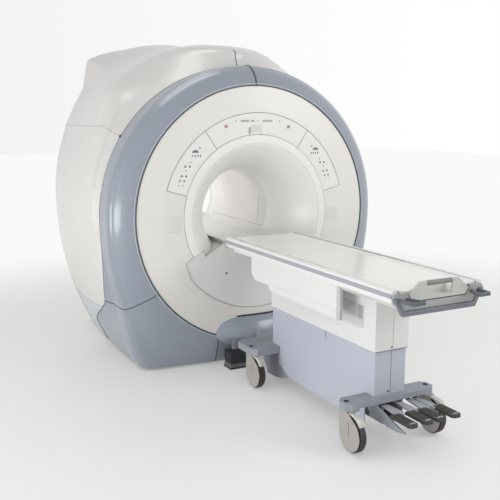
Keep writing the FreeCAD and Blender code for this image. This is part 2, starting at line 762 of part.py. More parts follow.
def base_chassis():
    front = chassis_beam(*front_beam)
    slot = box(-beam_half + beam_end, beam_half - beam_end, front_beam[0] - over,
               front_beam[0] + beam_wall + over, beam_bottom - over, pedal_slot_top)
    pieces = [front.cut(slot), chassis_beam(*rear_beam), keel()]
    pieces.append(box(-tongue_half, tongue_half, rear_beam[1] - beam_wall, dock_front - dock_gap, *tongue_z))
    pieces += pedal_hangers()
    left, right = (-skirt_x - skirt_wall, -skirt_x), (skirt_x, skirt_x + skirt_wall)
    pieces += [plate_along_x(rear_skirt, *left), plate_along_x(rear_skirt, *right),
               plate_along_x(front_skirt, *left)]
    chassis = fused(pieces)
    for x in (-caster_x, caster_x):
        for y in table_y(*caster_reach):
            chassis = chassis.cut(plate_along_z(bushing(x, y, stem_r), beam_bottom - over, beam_top + over))
    add("base_chassis", chassis)


# ---------------------------------------------------------------- table: pedestal and lift
def sleeve(half, y_limits, z0, z1, wall):
    y0, y1 = y_limits
    inner = box(-half + wall, half - wall, y0 + wall, y1 - wall, z0 - over, z1 + over)
    return box(-half, half, y0, y1, z0, z1).cut(inner)


def lower_cover():
    """The blue-grey lower cover, cut away round the beams and behind the rear skirt."""
    cover = sleeve(lower_half, lower_y, lower_cover_bottom, lower_cover_top, lower_wall)
    cover = cover.cut(box(-beyond, beyond, -beyond, front_beam[1] + telescope_gap, 0, beam_top))
    cover = cover.cut(box(-beyond, beyond, rear_beam[0] - telescope_gap, 0, beam_bottom - telescope_gap,
                          beam_top))
    corner = list(rear_skirt[2:5]) + [(rear_skirt[4][0], 0.0), (rear_beam[1], 0.0), (rear_beam[1], beam_top),
                                      (rear_beam[0], beam_top)]
    corner = [(y - telescope_gap, z) for y, z in corner]
    add("lower_cover", cover.cut(plate_along_x(corner, -beyond, beyond)))


def upper_cover():
    cover = sleeve(pedestal_half, pedestal_y, upper_cover_bottom, frame_bottom, upper_wall)
    for side in (-1, 1):
        x = side * pedestal_half
        cover = cover.cut(box(x - recess_depth, x + recess_depth, *table_y(*recess_reach), *recess_z))
    add("upper_cover", cover)


def square_tube(half, wall, y, z0, z1):
    inner = half - wall
    hollow = box(-inner, inner, y - inner, y + inner, z0 - over, z1 + over)
    return box(-half, half, y - half, y + half, z0, z1).cut(hollow)


def lift_columns():
    ram_half = guide_half - guide_wall - seat_gap
    guides = [square_tube(guide_half, guide_wall, y, keel_bottom + keel_wall, guide_top)
              for y in table_y(*guide_reach)]
    rams = [square_tube(ram_half, guide_wall, y, ram_bottom, frame_bottom)
            for y in table_y(*guide_reach)]
    add("lift_guides", Part.makeCompound(guides))
    add("lift_rams", Part.makeCompound(rams))


# ---------------------------------------------------------------- table: top
def table_frame():
    flange_z = rail_bottom - flange_wall
    tray = box(-frame_half, frame_half, deck_y0, deck_y1, frame_bottom, rail_bottom)
    flange = box(-flange_half, flange_half, deck_y0, deck_y1, flange_z, rail_bottom)
    flare = plate_along_y([(-frame_half, frame_bottom), (frame_half, frame_bottom), (flange_half, flange_z),
                           (-flange_half, flange_z)], deck_y0, panel_y[0] - flare_gap)
    frame = fused([tray, flange, flare])
    frame = frame.cut(box(-trough_half, trough_half, -beyond, beyond, glide_z, beyond))
    for side in (-1, 1):
        x0, x1 = sorted((side * frame_hollow[0], side * frame_hollow[1]))
        frame = frame.cut(box(x0, x1, deck_y0 + hollow_end, deck_y1 - hollow_end, frame_bottom - over,
                              glide_z - trough_floor_wall))
    add("table_frame", frame)


def side_rails():
    section = [(rail_inner, rail_bottom), (deck_half, rail_bottom), (deck_half, rail_top - rail_bevel),
               (deck_half - rail_bevel, rail_top), (rail_inner, rail_top)]
    add_pair("side_rail", plate_along_y(section, deck_y0, deck_y1))


def side_panels():
    y0, y1 = panel_y
    top = rail_bottom - flange_wall - seat_gap
    inner = frame_half + seat_gap
    step, rise = panel_notch
    step_y = deck_y1 - panel_step_reach
    points = [(y0, top), (y0, panel_bottom), (step_y, panel_bottom), (step_y + step / 2, panel_step_z),
              (y1 - step, panel_step_z), (y1, panel_step_z + rise), (y1, top)]
    panel = plate_along_x(points, inner, panel_outer)
    ridge = box(panel_outer - over, panel_outer + ridge_proud, y0 + step, step_y, panel_step_z,
                panel_step_z + ridge_height)
    add_pair("side_panel", fused([panel, ridge]))


def end_cap():
    """A proud rim round a plate that leaves room for the cradle's handle."""
    low, clear = end_cap_bottom + end_cap_wall, handle_gap
    rim = [(end_cap_bottom_half, end_cap_bottom), (deck_half, end_cap_shoulder), (deck_half, rail_top),
           (rail_inner, rail_top), (rail_inner, rail_bottom), (frame_half, low)]
    (foot_x, foot_z), (wide_x, wide_z) = handle_outline[1:3]
    plate = [(frame_half, low), (rail_inner, rail_bottom), (rail_inner, rail_top), (wide_x + clear, rail_top),
             (wide_x + clear, wide_z), (foot_x + clear, foot_z - clear)]
    return fused([plate_along_y(both_sides(rim), end_cap_y, deck_y0),
                  plate_along_y(both_sides(plate), plate_y, deck_y0 - seat_gap)])


def push_grips(cap):
    """A bevelled loop on each side of the end cap, for the hands."""
    far = end_cap_y - push_grip_reach

    def loop(inset):
        near, end, bevel = push_grip_near, far + inset, push_grip_bevel
        x0, x1 = push_grip_far[0] + inset, push_grip_far[1] - inset
        return [(near[0] + inset, plate_y), (x0, end + bevel), (x0 + bevel, end),
                (x1 - bevel, end), (x1, end + bevel), (near[1] - inset, plate_y)]
    grip = plate_along_z(loop(0.0) + loop(push_grip_bar)[::-1], *push_grip_z)
    add_pair("push_grip", grip.cut(cap))


def foot_end():
    cap = end_cap()
    add("end_cap", cap)
    push_grips(cap)


def cradle():
    """A shallow dish between two borders, with a finger recess behind the handle's slot."""
    dish = cradle_top - cradle_dish
    right = [(cradle_bottom_half, cradle_bottom), (cradle_half, cradle_top),
             (cradle_half - cradle_border, cradle_top), (cradle_half - 3 * cradle_border, dish)]
    recess = box(-slot_half - over, slot_half + over, deck_y0 - over, deck_y0 + finger_depth,
                 slot_z[0] - over, beyond)
    add("cradle", plate_along_y(both_sides(right), deck_y0, deck_y1).cut(recess))


def cradle_handle():
    y0, y1 = deck_y0 - handle_wall, deck_y0
    handle = plate_along_y(list(handle_outline), y0, y1)
    handle = handle.cut(box(-slot_half, slot_half, y0 - over, y1 + over, *slot_z))
    add("cradle_handle", handle)
    bar_top = handle_outline[3][1]
    half = slot_half - seat_gap
    grip = box(-half, half, y0 - grip_lap, y1 + grip_lap, slot_z[1] - grip_lap, bar_top + grip_lap)
    add("cradle_grip", grip.cut(handle))


# ---------------------------------------------------------------- table: casters and pedals
def caster(x, y):
    axle_y, half = y - caster_trail, wheel_width / 2
    inner, outer = half + cheek_gap, half + cheek_gap + cheek_wall
    back, ahead = yoke_reach
    head_top = beam_bottom - bearing_gap
    side = cheek_r * sin(radians(45))
    cheek = [(y + back, head_top), (y - ahead, head_top), (axle_y - side, wheel_r + side),
             (axle_y - cheek_r, wheel_r), (axle_y - side, wheel_r - side), (axle_y, wheel_r - cheek_r),
             (axle_y + side, wheel_r - side), (axle_y + cheek_r, wheel_r)]
    pieces = [box(x - outer, x + outer, y - ahead, y + back, yoke_bottom, head_top),
              rod(x, y, head_top - over, stem_r, beam_top - head_top, Z),
              plate_along_x(cheek, x - outer, x - inner), plate_along_x(cheek, x + inner, x + outer),
              rod(x - inner - over, axle_y, wheel_r, axle_r, 2 * (inner + over), X)]
    wheel = rod(x - half, axle_y, wheel_r, wheel_r, wheel_width, X)
    return fused(pieces), wheel.cut(plate_along_x(bushing(axle_y, wheel_r, axle_r), x - outer, x + outer))


def casters():
    for end, y in zip(("front", "rear"), table_y(*caster_reach)):
        for side, x in (("left", -caster_x), ("right", caster_x)):
            fork, wheel = caster(x, y)
            add("caster_fork_%s_%s" % (end, side), fork)
            add("caster_wheel_%s_%s" % (end, side), wheel)


def pedals():
    pivot_y, pivot_z = pedal_pivot
    y0, y1 = table_y(*(front_axis + lead for lead in pedal_pad_lead))
    z0, z1 = pedal_pad_z
    for number, (pad_x, arm_x) in enumerate(zip(pedal_pads_x, pedal_arms_x), 1):
        half, arm = pedal_width / 2, pedal_arm_width / 2
        pad = plate_along_z([(pad_x - half, y1), (pad_x - half, y0 + pedal_nose),
                             (pad_x - half + pedal_nose, y0), (pad_x + half - pedal_nose, y0),
                             (pad_x + half, y0 + pedal_nose), (pad_x + half, y1)],
                            z0, z1)
        bar = box(arm_x - arm, arm_x + arm, y1 - 2 * arm, pivot_y, *pedal_arm_z)
        boss = box(arm_x - arm, arm_x + arm, pivot_y - pedal_boss, pivot_y + pedal_boss,
                   pivot_z - pedal_boss, pivot_z + pedal_boss)
        bore = rod(arm_x - pedal_width, pivot_y, pivot_z, pedal_shaft_r + running_gap, 2 * pedal_width, X)
        add("pedal_%d" % number, fused([pad, bar, boss]).cut(bore))


# ---------------------------------------------------------------- build
def build():
    bezel_and_feet()
    white_covers()
    rear_cover()
    front_cover()
    panels()
    windows_and_buttons()
    mouths()
    apron()
    magnet_group()
    bridge()
    base_frame()
    cold_head()
    dock()
    base_chassis()
    lower_cover()
    upper_cover()
    lift_columns()
    table_frame()
    side_rails()
    side_panels()
    foot_end()
    cradle()
    cradle_handle()
    casters()
    pedals()


build()
os.makedirs("parts", exist_ok=True)
for node, shape in parts.items():
    shape.exportStep("parts/" + node + ".step")
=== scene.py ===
import bpy
import bmesh
import numpy as np
from math import radians, sin, cos, sqrt, pi, atan2
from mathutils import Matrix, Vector


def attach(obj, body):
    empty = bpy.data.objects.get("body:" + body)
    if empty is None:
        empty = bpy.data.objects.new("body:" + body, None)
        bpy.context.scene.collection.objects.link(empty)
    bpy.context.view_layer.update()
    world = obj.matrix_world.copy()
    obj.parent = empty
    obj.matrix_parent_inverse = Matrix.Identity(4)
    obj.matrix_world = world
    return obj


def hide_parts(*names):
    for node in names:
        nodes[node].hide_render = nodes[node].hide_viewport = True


# A magnetic resonance scanner: moulded gantry covers round a patient bore, and a docked table on
# casters. Shapes are worked out in millimetres and stored in metres.

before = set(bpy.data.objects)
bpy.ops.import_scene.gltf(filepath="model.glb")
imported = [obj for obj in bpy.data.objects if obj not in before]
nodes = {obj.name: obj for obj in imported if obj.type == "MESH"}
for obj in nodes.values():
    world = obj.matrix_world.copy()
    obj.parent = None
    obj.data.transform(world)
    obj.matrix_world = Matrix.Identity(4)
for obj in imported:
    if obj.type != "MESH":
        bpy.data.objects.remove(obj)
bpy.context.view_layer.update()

# -------- sizes shared by several pieces
bore_z = 1070  # height of the bore's axis
front_y = -877  # flat part of the front cover
rim_y = -860  # rim of the front cover
rim_r = 895
bezel_back = -560
shell_back = 800
rear_y = 860
floor_gap = 16
seam_half = 0.45  # half of a shut line
cover_wall = 12
bore_r = 300
deck_y0, deck_y1 = -2744, -946  # the table top's two ends
hands = ((False, "right"), (True, "left"))  # whether a piece is mirrored, and its side


# -------- finishes
def linear(code, darker=(0, 0, 0)):
    """An sRGB hex colour, or one some levels darker, as linear RGBA."""
    channels = [(int(code[2 * i:2 * i + 2], 16) - darker[i]) / 255 for i in range(3)]
    return [c / 12.92 if c <= 0.04045 else ((c + 0.055) / 1.055) ** 2.4 for c in channels] + [1]


def add_node(owner, kind, settings=None, links=None):
    """Adds a shader node, sets its properties and sockets, and links other nodes' outputs to it."""
    node = owner.node_tree.nodes.new("ShaderNode" + kind)
    for key, value in (settings or {}).items():
        if isinstance(key, str) and hasattr(node, key):
            setattr(node, key, value)
        else:
            node.inputs[key].default_value = value
    for key, (source, output) in (links or {}).items():
        owner.node_tree.links.new(source.outputs[output], node.inputs[key])
    return node


def mix_tones(owner, first, second, share):
    """Mixes two colours, which are the node's sockets 6 and 7, into its output 2."""
    return add_node(owner, "Mix", {"data_type": "RGBA", 6: first, 7: second}, {"Factor": share})


def add_object(name, data):
    item = bpy.data.objects.new(name, data)
    bpy.context.scene.collection.objects.link(item)
    return item


def blank(name):
    material = bpy.data.materials.new(name)
    material.use_nodes = True
    material.node_tree.nodes.clear()
    return material


cloud_scale = 2.4  # clouds of about 0.4 m
relief_strength = 0.35
coat_roughness = 0.12


def moulded(name, colour, darker, roughness, grain_mm, relief_mm, coat=0, metal=0, spread=0.05):
    """A solid-coloured surface: two close tones in soft clouds, the second some levels darker, a
    fine relief of the given grain, and a gloss that varies a little, as handling leaves it."""
    material = blank(name)
    where = add_node(material, "TexCoord")
    clouds = add_node(material, "TexNoise", {"Scale": cloud_scale, "Detail": 3},
        {"Vector": (where, "Object")})
    steps = darker if isinstance(darker, tuple) else (darker,) * 3
    tones = mix_tones(material, linear(colour), linear(colour, steps), (clouds, "Fac"))
    grain = add_node(material, "TexNoise", {"Scale": 1000 / grain_mm, "Detail": 2},
        {"Vector": (where, "Object")})
    relief = add_node(material, "Bump",
        {"Strength": relief_strength, "Distance": relief_mm / 1000}, {"Height": (grain, "Fac")})
    gloss = add_node(material, "MapRange",
        {"From Min": 0.3, "From Max": 0.7, "To Min": roughness - spread, "To Max": roughness + spread},
        {"Value": (clouds, "Fac")})
    surface = add_node(material, "BsdfPrincipled",
        {"Metallic": metal, "Coat Weight": coat, "Coat Roughness": coat_roughness},
        {"Base Color": (tones, 2), "Roughness": (gloss, "Result"), "Normal": (relief, "Normal")})
    add_node(material, "OutputMaterial", links={"Surface": (surface, "BSDF")})
    return material


# ABS covers, vacuum-formed and sprayed with satin two-pack paint: wide soft highlights, and a
# faint orange peel, drawn at 9 mm so that it shows at this distance
white_abs = moulded("satin_white_abs", "D5D4D1", 4, 0.34, 9, 0.05, coat=0.2)
blue_abs = moulded("satin_blue_grey_abs", "8F96A2", 4, 0.32, 9, 0.05, coat=0.45)
plinth_abs = moulded("satin_pale_blue_grey_abs", "C3C7CD", 4, 0.36, 9, 0.05, coat=0.2)
fascia_abs = moulded("satin_fascia_abs", "DFDDD8", 3, 0.38, 9, 0.04, coat=0.1)
mouth_abs = moulded("satin_mouth_abs", "E6E5E2", 3, 0.36, 9, 0.04, coat=0.1)
# polyester film over the keypads, printed on its back: smooth and a little glossier
keypad_film = moulded("printed_polyester_film", "E4E3DF", 2, 0.28, 14, 0.02)
# spark-eroded ABS of the apron: a dull, even grain
apron_abs = moulded("grained_grey_abs", "DEDEDC", 3, 0.52, 4, 0.08)
# glass-fibre tube, filled and painted: dull, with a slow waviness
liner_laminate = moulded("painted_glass_fibre", "DAD8D8", (3, 3, 4), 0.45, 25, 0.15)
bridge_plastic = moulded("moulded_polyethylene", "D6D5D3", 4, 0.42, 6, 0.06)
# gel-coated cradle: cream, the glossiest large surface
cradle_gelcoat = moulded("cream_gel_coat", "EEEDE8", (3, 3, 4), 0.24, 18, 0.04, coat=0.3, spread=0.04)
table_white = moulded("satin_white_table_abs", "E2E2E1", (3, 3, 4), 0.36, 8, 0.05, coat=0.12)
table_blue = moulded("satin_blue_grey_table_abs", "B8BDCA", 3, 0.36, 8, 0.05, coat=0.12)
# powder-coated steel of the chassis: a fine pebbled skin
powder_blue = moulded("powder_coated_steel", "9699A3", 4, 0.46, 5, 0.1)
rail_coat = moulded("white_coated_aluminium", "E6E6E3", 3, 0.32, 12, 0.03)
rail_bumper = moulded("blue_grey_pvc_bumper", "A3A7B1", 4, 0.40, 6, 0.05)
cap_plastic = moulded("grained_blue_grey_nylon", "767A84", 4, 0.45, 4, 0.07)
plate_plastic = moulded("grained_grey_beige_nylon", "A3A5A3", 4, 0.46, 4, 0.07)
sleeve_rubber = moulded("grey_soft_touch_sleeve", "7E807F", 5, 0.50, 3, 0.08)
grip_rubber = moulded("soft_touch_grey", "60656A", 5, 0.58, 3, 0.1)
handle_nylon = moulded("pale_grey_moulded_nylon", "C2C4C0", 4, 0.45, 5, 0.06)
plate_light = moulded("grey_moulded_nylon", "C3C3C2", 4, 0.45, 5, 0.05)
# darker grey for the cover's recess: painted shade of the recess
recess_shade_grey = moulded("painted_recess_shade_grey", "CFCFCD", 4, 0.45, 6, 0.05)
zinc_cast = moulded("painted_zinc_casting", "C9C7C0", 6, 0.42, 5, 0.06)
pedal_steel = moulded("powder_coated_pedal_steel", "A3A6AE", 5, 0.44, 5, 0.07)
pad_rubber = moulded("moulded_epdm_rubber", "3B3E38", 5, 0.62, 3, 0.12)
hood_nylon = moulded("glass_filled_warm_grey_nylon", "A6A39D", 6, 0.50, 3, 0.08)
tyre_rubber = moulded("grey_black_polyurethane_tyre", "383633", 5, 0.55, 4, 0.08)
dock_paint = moulded("painted_dock_steel", "8B8E92", 6, 0.45, 5, 0.08)
band_paint = moulded("warm_grey_painted_steel", "6A6860", 5, 0.50, 5, 0.08)
frame_paint = moulded("painted_base_steel", "54575B", 5, 0.50, 5, 0.1)
vessel_paint = moulded("painted_vessel_steel", "B9BBBC", 5, 0.45, 6, 0.08)
coil_resin = moulded("cast_epoxy_resin", "7A6A4E", (8, 8, 7), 0.40, 6, 0.08)
# zinc-plated steel: bright, fine drawing marks blur its reflections
zinc_steel = moulded("zinc_plated_steel", "B8BABC", (10, 10, 9), 0.34, 2, 0.05, metal=1)
# black for the holes, gaps and the ground under the dock: painted shade where little light reaches
painted_shade_black = moulded("unlit_recess_black", "2E3033", 5, 0.80, 5, 0.05)
print_ink = moulded("dark_grey_screen_ink", "6E7478", 6, 0.50, 6, 0.02)
panel_ink = moulded("grey_screen_ink", "A9ADAC", 5, 0.50, 6, 0.02)
# frosted acrylic of the laser windows: nearly as light as the cover, with a sharp gloss
frosted_acrylic = moulded("frosted_acrylic", "D9D8D4", 4, 0.14, 30, 0.01, spread=0.02)
red_button = moulded("moulded_red_acetal", "B4857F", 5, 0.35, 5, 0.04)
grey_button = moulded("moulded_grey_acetal", "9A9C96", 4, 0.35, 5, 0.04)
# dark beads along the shut lines: painted shade of the gaps between the covers, where light hardly reaches
seam_shade = moulded("black_rubber_seal", "4C5157", 5, 0.75, 4, 0.05)
# a light bead on the ring's lip: painted highlight along its edge
lip_highlight = moulded("painted_lip_highlight", "CDD1DA", 4, 0.35, 9, 0.04)
# light grey beads along the white shell's seams: painted shade of the seams
side_seam_shade = moulded("painted_side_seam_shade", "A8A8A5", 5, 0.70, 4, 0.05)
# grey beads round the keypads and the apron: painted shade of their shut lines
fine_seam_shade = moulded("grey_rubber_seal", "7B8082", 5, 0.75, 4, 0.05)


# -------- tools for shapes
def polar(radius, degrees, y):
    """A point at a radius and an angle round the bore's axis."""
    return (radius * cos(radians(degrees)), y, bore_z + radius * sin(radians(degrees)))


def flow(points, steps, first=0, last=None):
    """Evenly spaced rows along a smooth curve through rows of numbers, from row first to row last."""
    p = np.array(points, float)
    t = np.concatenate([[0], np.cumsum(np.linalg.norm(np.diff(p, axis=0), axis=1))])
    slope = np.gradient(p, t, axis=0)
    s = np.linspace(t[first], t[len(t) - 1 if last is None else last], steps + 1)
    i = np.clip(np.searchsorted(t, s, side="right") - 1, 0, len(t) - 2)
    h = (t[i + 1] - t[i])[:, None]
    u = (s - t[i])[:, None] / h
    return ((1 + 2 * u) * (1 - u) ** 2 * p[i] + u * (1 - u) ** 2 * h * slope[i]
            + u ** 2 * (3 - 2 * u) * p[i + 1] - u ** 2 * (1 - u) * h * slope[i + 1])


def net(rows, closed=False):
    """Vertices and four-sided faces through equally long rows of points."""
    count = len(rows[0])
    points = [tuple(p) for row in rows for p in row]
    around = count if closed else count - 1
    faces = []
    for low in range(0, count * (len(rows) - 1), count):
        for j, k in ((j, (j + 1) % count) for j in range(around)):
            faces.append((low + j, low + k, low + count + k, low + count + j))
    return points, faces


def start_mesh(points, faces, mirror=False):
    """A bmesh in millimetres; mirror gives the same shape on the other side of the bore."""
    side = -1 if mirror else 1
    bm = bmesh.new()
    corners = [bm.verts.new((side * x, y, z)) for x, y, z in points]
    for face in faces:
        ring = []
        for i in face:
            if corners[i] not in ring:
                ring.append(corners[i])
        if len(ring) > 2:
            bm.faces.new(ring[::-1] if mirror else ring)
    bmesh.ops.remove_doubles(bm, verts=bm.verts, dist=0.01)
    return bm


def trim(bm, inside):
    """Cuts the mesh where inside(point) passes zero and keeps the side where it is positive."""
    value = {v: inside(v.co) for v in bm.verts}
    for edge in list(bm.edges):
        a, b = edge.verts
        if value[a] * value[b] < 0 and min(abs(value[a]), abs(value[b])) > 1e-4:
            share = value[a] / (value[a] - value[b])
            _, corner = bmesh.utils.edge_split(edge, a, share)
            value[corner] = 0
    for face in list(bm.faces):
        on = [v for v in face.verts if abs(value[v]) <= 1e-4]
        if len(on) == 2 and not any(on[1] in edge.verts for edge in on[0].link_edges):
            bmesh.utils.face_split(face, on[0], on[1])
    bmesh.ops.delete(bm, geom=[f for f in bm.faces if sum(value[v] for v in f.verts) < 0], context="FACES")
    return bm


def turn_outward(bm):
    """Makes the faces look away from the bore's axis."""
    bmesh.ops.recalc_face_normals(bm, faces=bm.faces)
    axis = Vector((0, 0, bore_z))
    if sum(f.normal.dot(f.calc_center_median() - axis) * f.calc_area() for f in bm.faces) < 0:
        bmesh.ops.reverse_faces(bm, faces=bm.faces)


def place(name, bm, body, material, slot, replaces="", sharp=40, wall=0, edge=0):
    """Finishes a bmesh as an object of the scene that rides on a body."""
    bmesh.ops.scale(bm, vec=(0.001, 0.001, 0.001), verts=bm.verts)
    mesh = bpy.data.meshes.new(name)
    bm.to_mesh(mesh)
    bm.free()
    mesh.materials.append(material)
    mesh.shade_smooth()
    mesh.set_sharp_from_angle(angle=radians(sharp))
    item = add_object(name, mesh)
    if wall:
        shell = item.modifiers.new("wall", "SOLIDIFY")
        shell.thickness, shell.offset, shell.use_even_offset = wall / 1000, -1, True
    soften(item, edge)
    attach(item, body)
    if replaces:
        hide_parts(replaces)
    return item


def soften(item, edge):
    """Rounds an object's edges by a radius in millimetres."""
    if edge:
        bevel = item.modifiers.new("rounded edges", "BEVEL")
        bevel.width, bevel.segments, bevel.limit_method = edge / 1000, 3, "ANGLE"
        bevel.angle_limit, bevel.harden_normals = radians(35), True


def skin(name, shape, mirror, cuts, material, slot, replaced, shaded_edge=None, shade_radius=3):
    """One moulded skin of the gantry: built, trimmed, turned outwards and placed, with a dark bead
    along the free edges that the given test picks out, painted as the shade of the shut line there."""
    bm = start_mesh(*shape, mirror)
    side = -1 if mirror else 1
    for wanted in cuts:
        trim(bm, lambda p: wanted(side * p.x, p.y, p.z))
    turn_outward(bm)
    if shaded_edge:
        bm.verts.index_update()
        beads = [bead(line, shade_radius, sides=6) for line in open_edges(bm, shaded_edge)]
        solid(name + "_seal", beads, "gantry", seam_shade, None)
    return place(name, bm, "gantry", material, slot, replaced, wall=cover_wall, edge=2.5)


def lathe(profile):
    """Rows of points about the bore's axis through (radius, y) pairs."""
    turns = [360 * j / 128 for j in range(128)]
    return net([[polar(r, turn, y) for turn in turns] for r, y in profile], closed=True)


def rect(u0, v0, u1, v1):
    """The outline of a rectangle between two opposite corners."""
    return [(u0, v0), (u1, v0), (u1, v1), (u0, v1)]


def circle(u, v, radius, sides, squash=1):
    """The outline of a circle, squashed where it is an ellipse."""
    turns = [2 * pi * k / sides for k in range(sides)]
    return [(u + radius * cos(a), v + squash * radius * sin(a)) for a in turns]


def slab(outline, axis, low, high):
    """A plate with an outline in the two other axes, from low to high along the axis."""
    def corner(u, v, w):
        return {"x": (w, u, v), "y": (u, w, v), "z": (u, v, w)}[axis]
    count = len(outline)
    points = [corner(u, v, w) for w in (low, high) for u, v in outline]
    faces = [tuple(range(count)), tuple(range(2 * count - 1, count - 1, -1))]
    return points, faces + [(i, (i + 1) % count, count + (i + 1) % count, count + i) for i in range(count)]


def bead(points, radius, closed=False, sides=8):
    """A round bead along a line of points, its section carried along without twist."""
    p = np.array(points, float)
    ahead = np.roll(p, -1, axis=0) - p
    if not closed:
        ahead[-1] = p[-1] - p[-2]
    along = ahead + np.roll(ahead, 1, axis=0)
    if not closed:
        along[0], along[-1] = ahead[0], ahead[-1]
    along /= np.linalg.norm(along, axis=1)[:, None]
    normal = np.cross(along[0], (0, 1, 0) if abs(along[0][1]) < 0.9 else (1, 0, 0))
    rows = []
    for point, t in zip(p, along):
        normal = normal - t * np.dot(normal, t)
        normal /= np.linalg.norm(normal)
        other = np.cross(t, normal)
        rows.append([tuple(point + u * normal + v * other) for u, v in circle(0, 0, radius, sides)])
    if closed:
        rows.append(rows[0])
    vertices, faces = net(rows, closed=True)
    if not closed:
        faces += [tuple(range(sides)), tuple(range(len(vertices) - 1, len(vertices) - sides - 1, -1))]
    return vertices, faces


def joined(shapes):
    """Several (vertices, faces) shapes as one."""
    points, faces = [], []
    for more_points, more_faces in shapes:
        faces += [tuple(i + len(points) for i in face) for face in more_faces]
        points += more_points
    return points, faces


def solid(name, shapes, body, material, slot, mirror=False, **more):
    """Closed shapes placed as one piece."""
    bm = start_mesh(*joined(shapes), mirror)
    bmesh.ops.recalc_face_normals(bm, faces=bm.faces)
    return place(name, bm, body, material, slot, **more)


def wire(name, points, radius, body, material, slot=None, mirror=False, closed=False):
    """One round bead as a piece of its own."""
    return solid(name, [bead(points, radius, closed)], body, material, slot, mirror)


def disc(x, z, radius, y0, y1, squash=1):
    """A round plate on an upright face."""
    return slab(circle(x, z, radius, 20, squash), "y", y0, y1)


def arc_radius(half_chord, depth):
    return (half_chord ** 2 + depth ** 2) / (2 * depth)


def bow(half, depth, count):
    """(x, y) along a shallow arc that bows forwards by its depth between two ends at y 0."""
    radius = arc_radius(half, depth)
    reach = atan2(half, radius - depth)
    return [(radius * sin(a), radius * (1 - cos(a)) - depth) for a in np.linspace(-reach, reach, count)]


def arc(radius, a0, a1, y, steps=96):
    return [polar(radius, a0 + (a1 - a0) * i / steps, y) for i in range(steps + 1)]


def open_edges(bm, wanted):
    """Lines of points along the free edges of a skin, where wanted(x, y, z) holds."""
    free = {}
    for edge in bm.edges:
        middle = (edge.verts[0].co + edge.verts[1].co) / 2
        if edge.is_boundary and wanted(abs(middle.x), middle.y, middle.z):
            for v in edge.verts:
                free.setdefault(v, []).append(edge.other_vert(v))
    lines, seen = [], set()
    for start in sorted(free, key=lambda v: (len(free[v]) != 1, v.index)):
        if start in seen:
            continue
        line, here = [start], start
        seen.add(start)
        while True:
            onward = [v for v in free[here] if v not in seen]
            if not onward:
                break
            here = onward[0]
            seen.add(here)
            line.append(here)
        if len(line) > 2:
            lines.append([tuple(v.co) for v in line])
    return lines


def above_line(x, z, line):
    """How far a point lies above a line of (x, z) points, measured upright."""
    return z - float(np.interp(x, *zip(*line)))


# -------- blue-grey ring, feet and toe
# Upright sections through the blue-grey body: y, radius of the upper half, and radii at 17, 33,
# 53, 70 and 90 degrees below the bore's axis.
bezel_rows = (
    (rim_y, 902, 902, 902, 902, 902, 902),
    (-828, 973, 981, 1000, 1030, 1010, 980),
    (-780, 1031, 1049, 1092, 1186, 1150, 1100),
    (-710, 1060, 1083, 1152, 1336, 1252, 1176),
    (bezel_back, 1053, 1079, 1153, 1343, 1256, 1180), (150, 1053, 1079, 1153, 1343, 1256, 1180))
bezel_angles = (-17, -33, -52.8, -70, -90)
lip_rows = ((-848, 0.9), (-858.5, 0.9), (rim_y, 2.4), (rim_y, 5))  # y, height over the rim
bezel_seam = ((560, 688), (741, 580), (944, 470), (1500, 470))  # (x, z)
toe_half = 305
toe_back = -700
foot_rear_edge = ((-450, 471), (-440, 450), (30, 213), (137, -60))  # (y, z)
crown_drop = 20  # the ring is this much flatter over its top
swell_length = 330  # how far the ring and the foot swell ahead of their rear edge


def ring_section(row):
    y, r = row[0], row[1]
    drop = crown_drop * max(0, r - bezel_rows[0][1]) / (bezel_rows[-1][1] - bezel_rows[0][1])
    upper = [polar(r - drop * cos(radians(90 * i / 48)) ** 2, 90 - 90 * i / 48, y) for i in range(48)]
    lower = [polar(r, 12, y), polar(r, 0, y)] + [polar(v, a, y) for v, a in zip(row[2:], bezel_angles)]
    below = [(-lower[-2][0], y, lower[-2][2])]
    return upper + [tuple(p) for p in flow(lower + below, 40, 1, len(lower) - 1)]


def smooth(share):
    share = min(1, max(0, share))
    return share * share * (3 - 2 * share)


def ring_rear_y(z):
    """The ring's rear edge, upright down to the bore's height and leaning back below it."""
    return bezel_back + 110 * max(0, (930 - z) / 455) ** 2.2


def meet_shell(points):
    """Swells the foot and the low end of the ring, so that they meet the white side flush."""
    swollen = []
    for x, y, z in points:
        if y > bezel_back - 1 and z < bore_z:
            edge = foot_edge_y(z) if z < foot_rear_edge[0][1] else ring_rear_y(z)
            near = smooth(1 - max(0, edge - y) / swell_length)
            flush = side_at(y, z) - (plinth_inset if z < cover_skirt else 0) - 1
            x += (flush - x if y > bezel_back else max(0, flush - x)) * near
        swollen.append((x, y, z))
    return swollen


def blue_body(last_row, steps):
    """The blue-grey body's net from its lip back to one of its sections."""
    lip = [(y,) + (rim_r + height,) * 6 for y, height in lip_rows]
    return net([ring_section(row) for row in lip + list(flow(bezel_rows, steps, 0, last_row))])


def ahead_of_foot_edge(x, y, z):
    """Positive ahead of the foot cover's rear edge."""
    y_top = foot_rear_edge[0][0]
    return foot_edge_z(y) - z if y > y_top else y_top - y + 0.1


def above_floor(x, y, z):
    return z - floor_gap


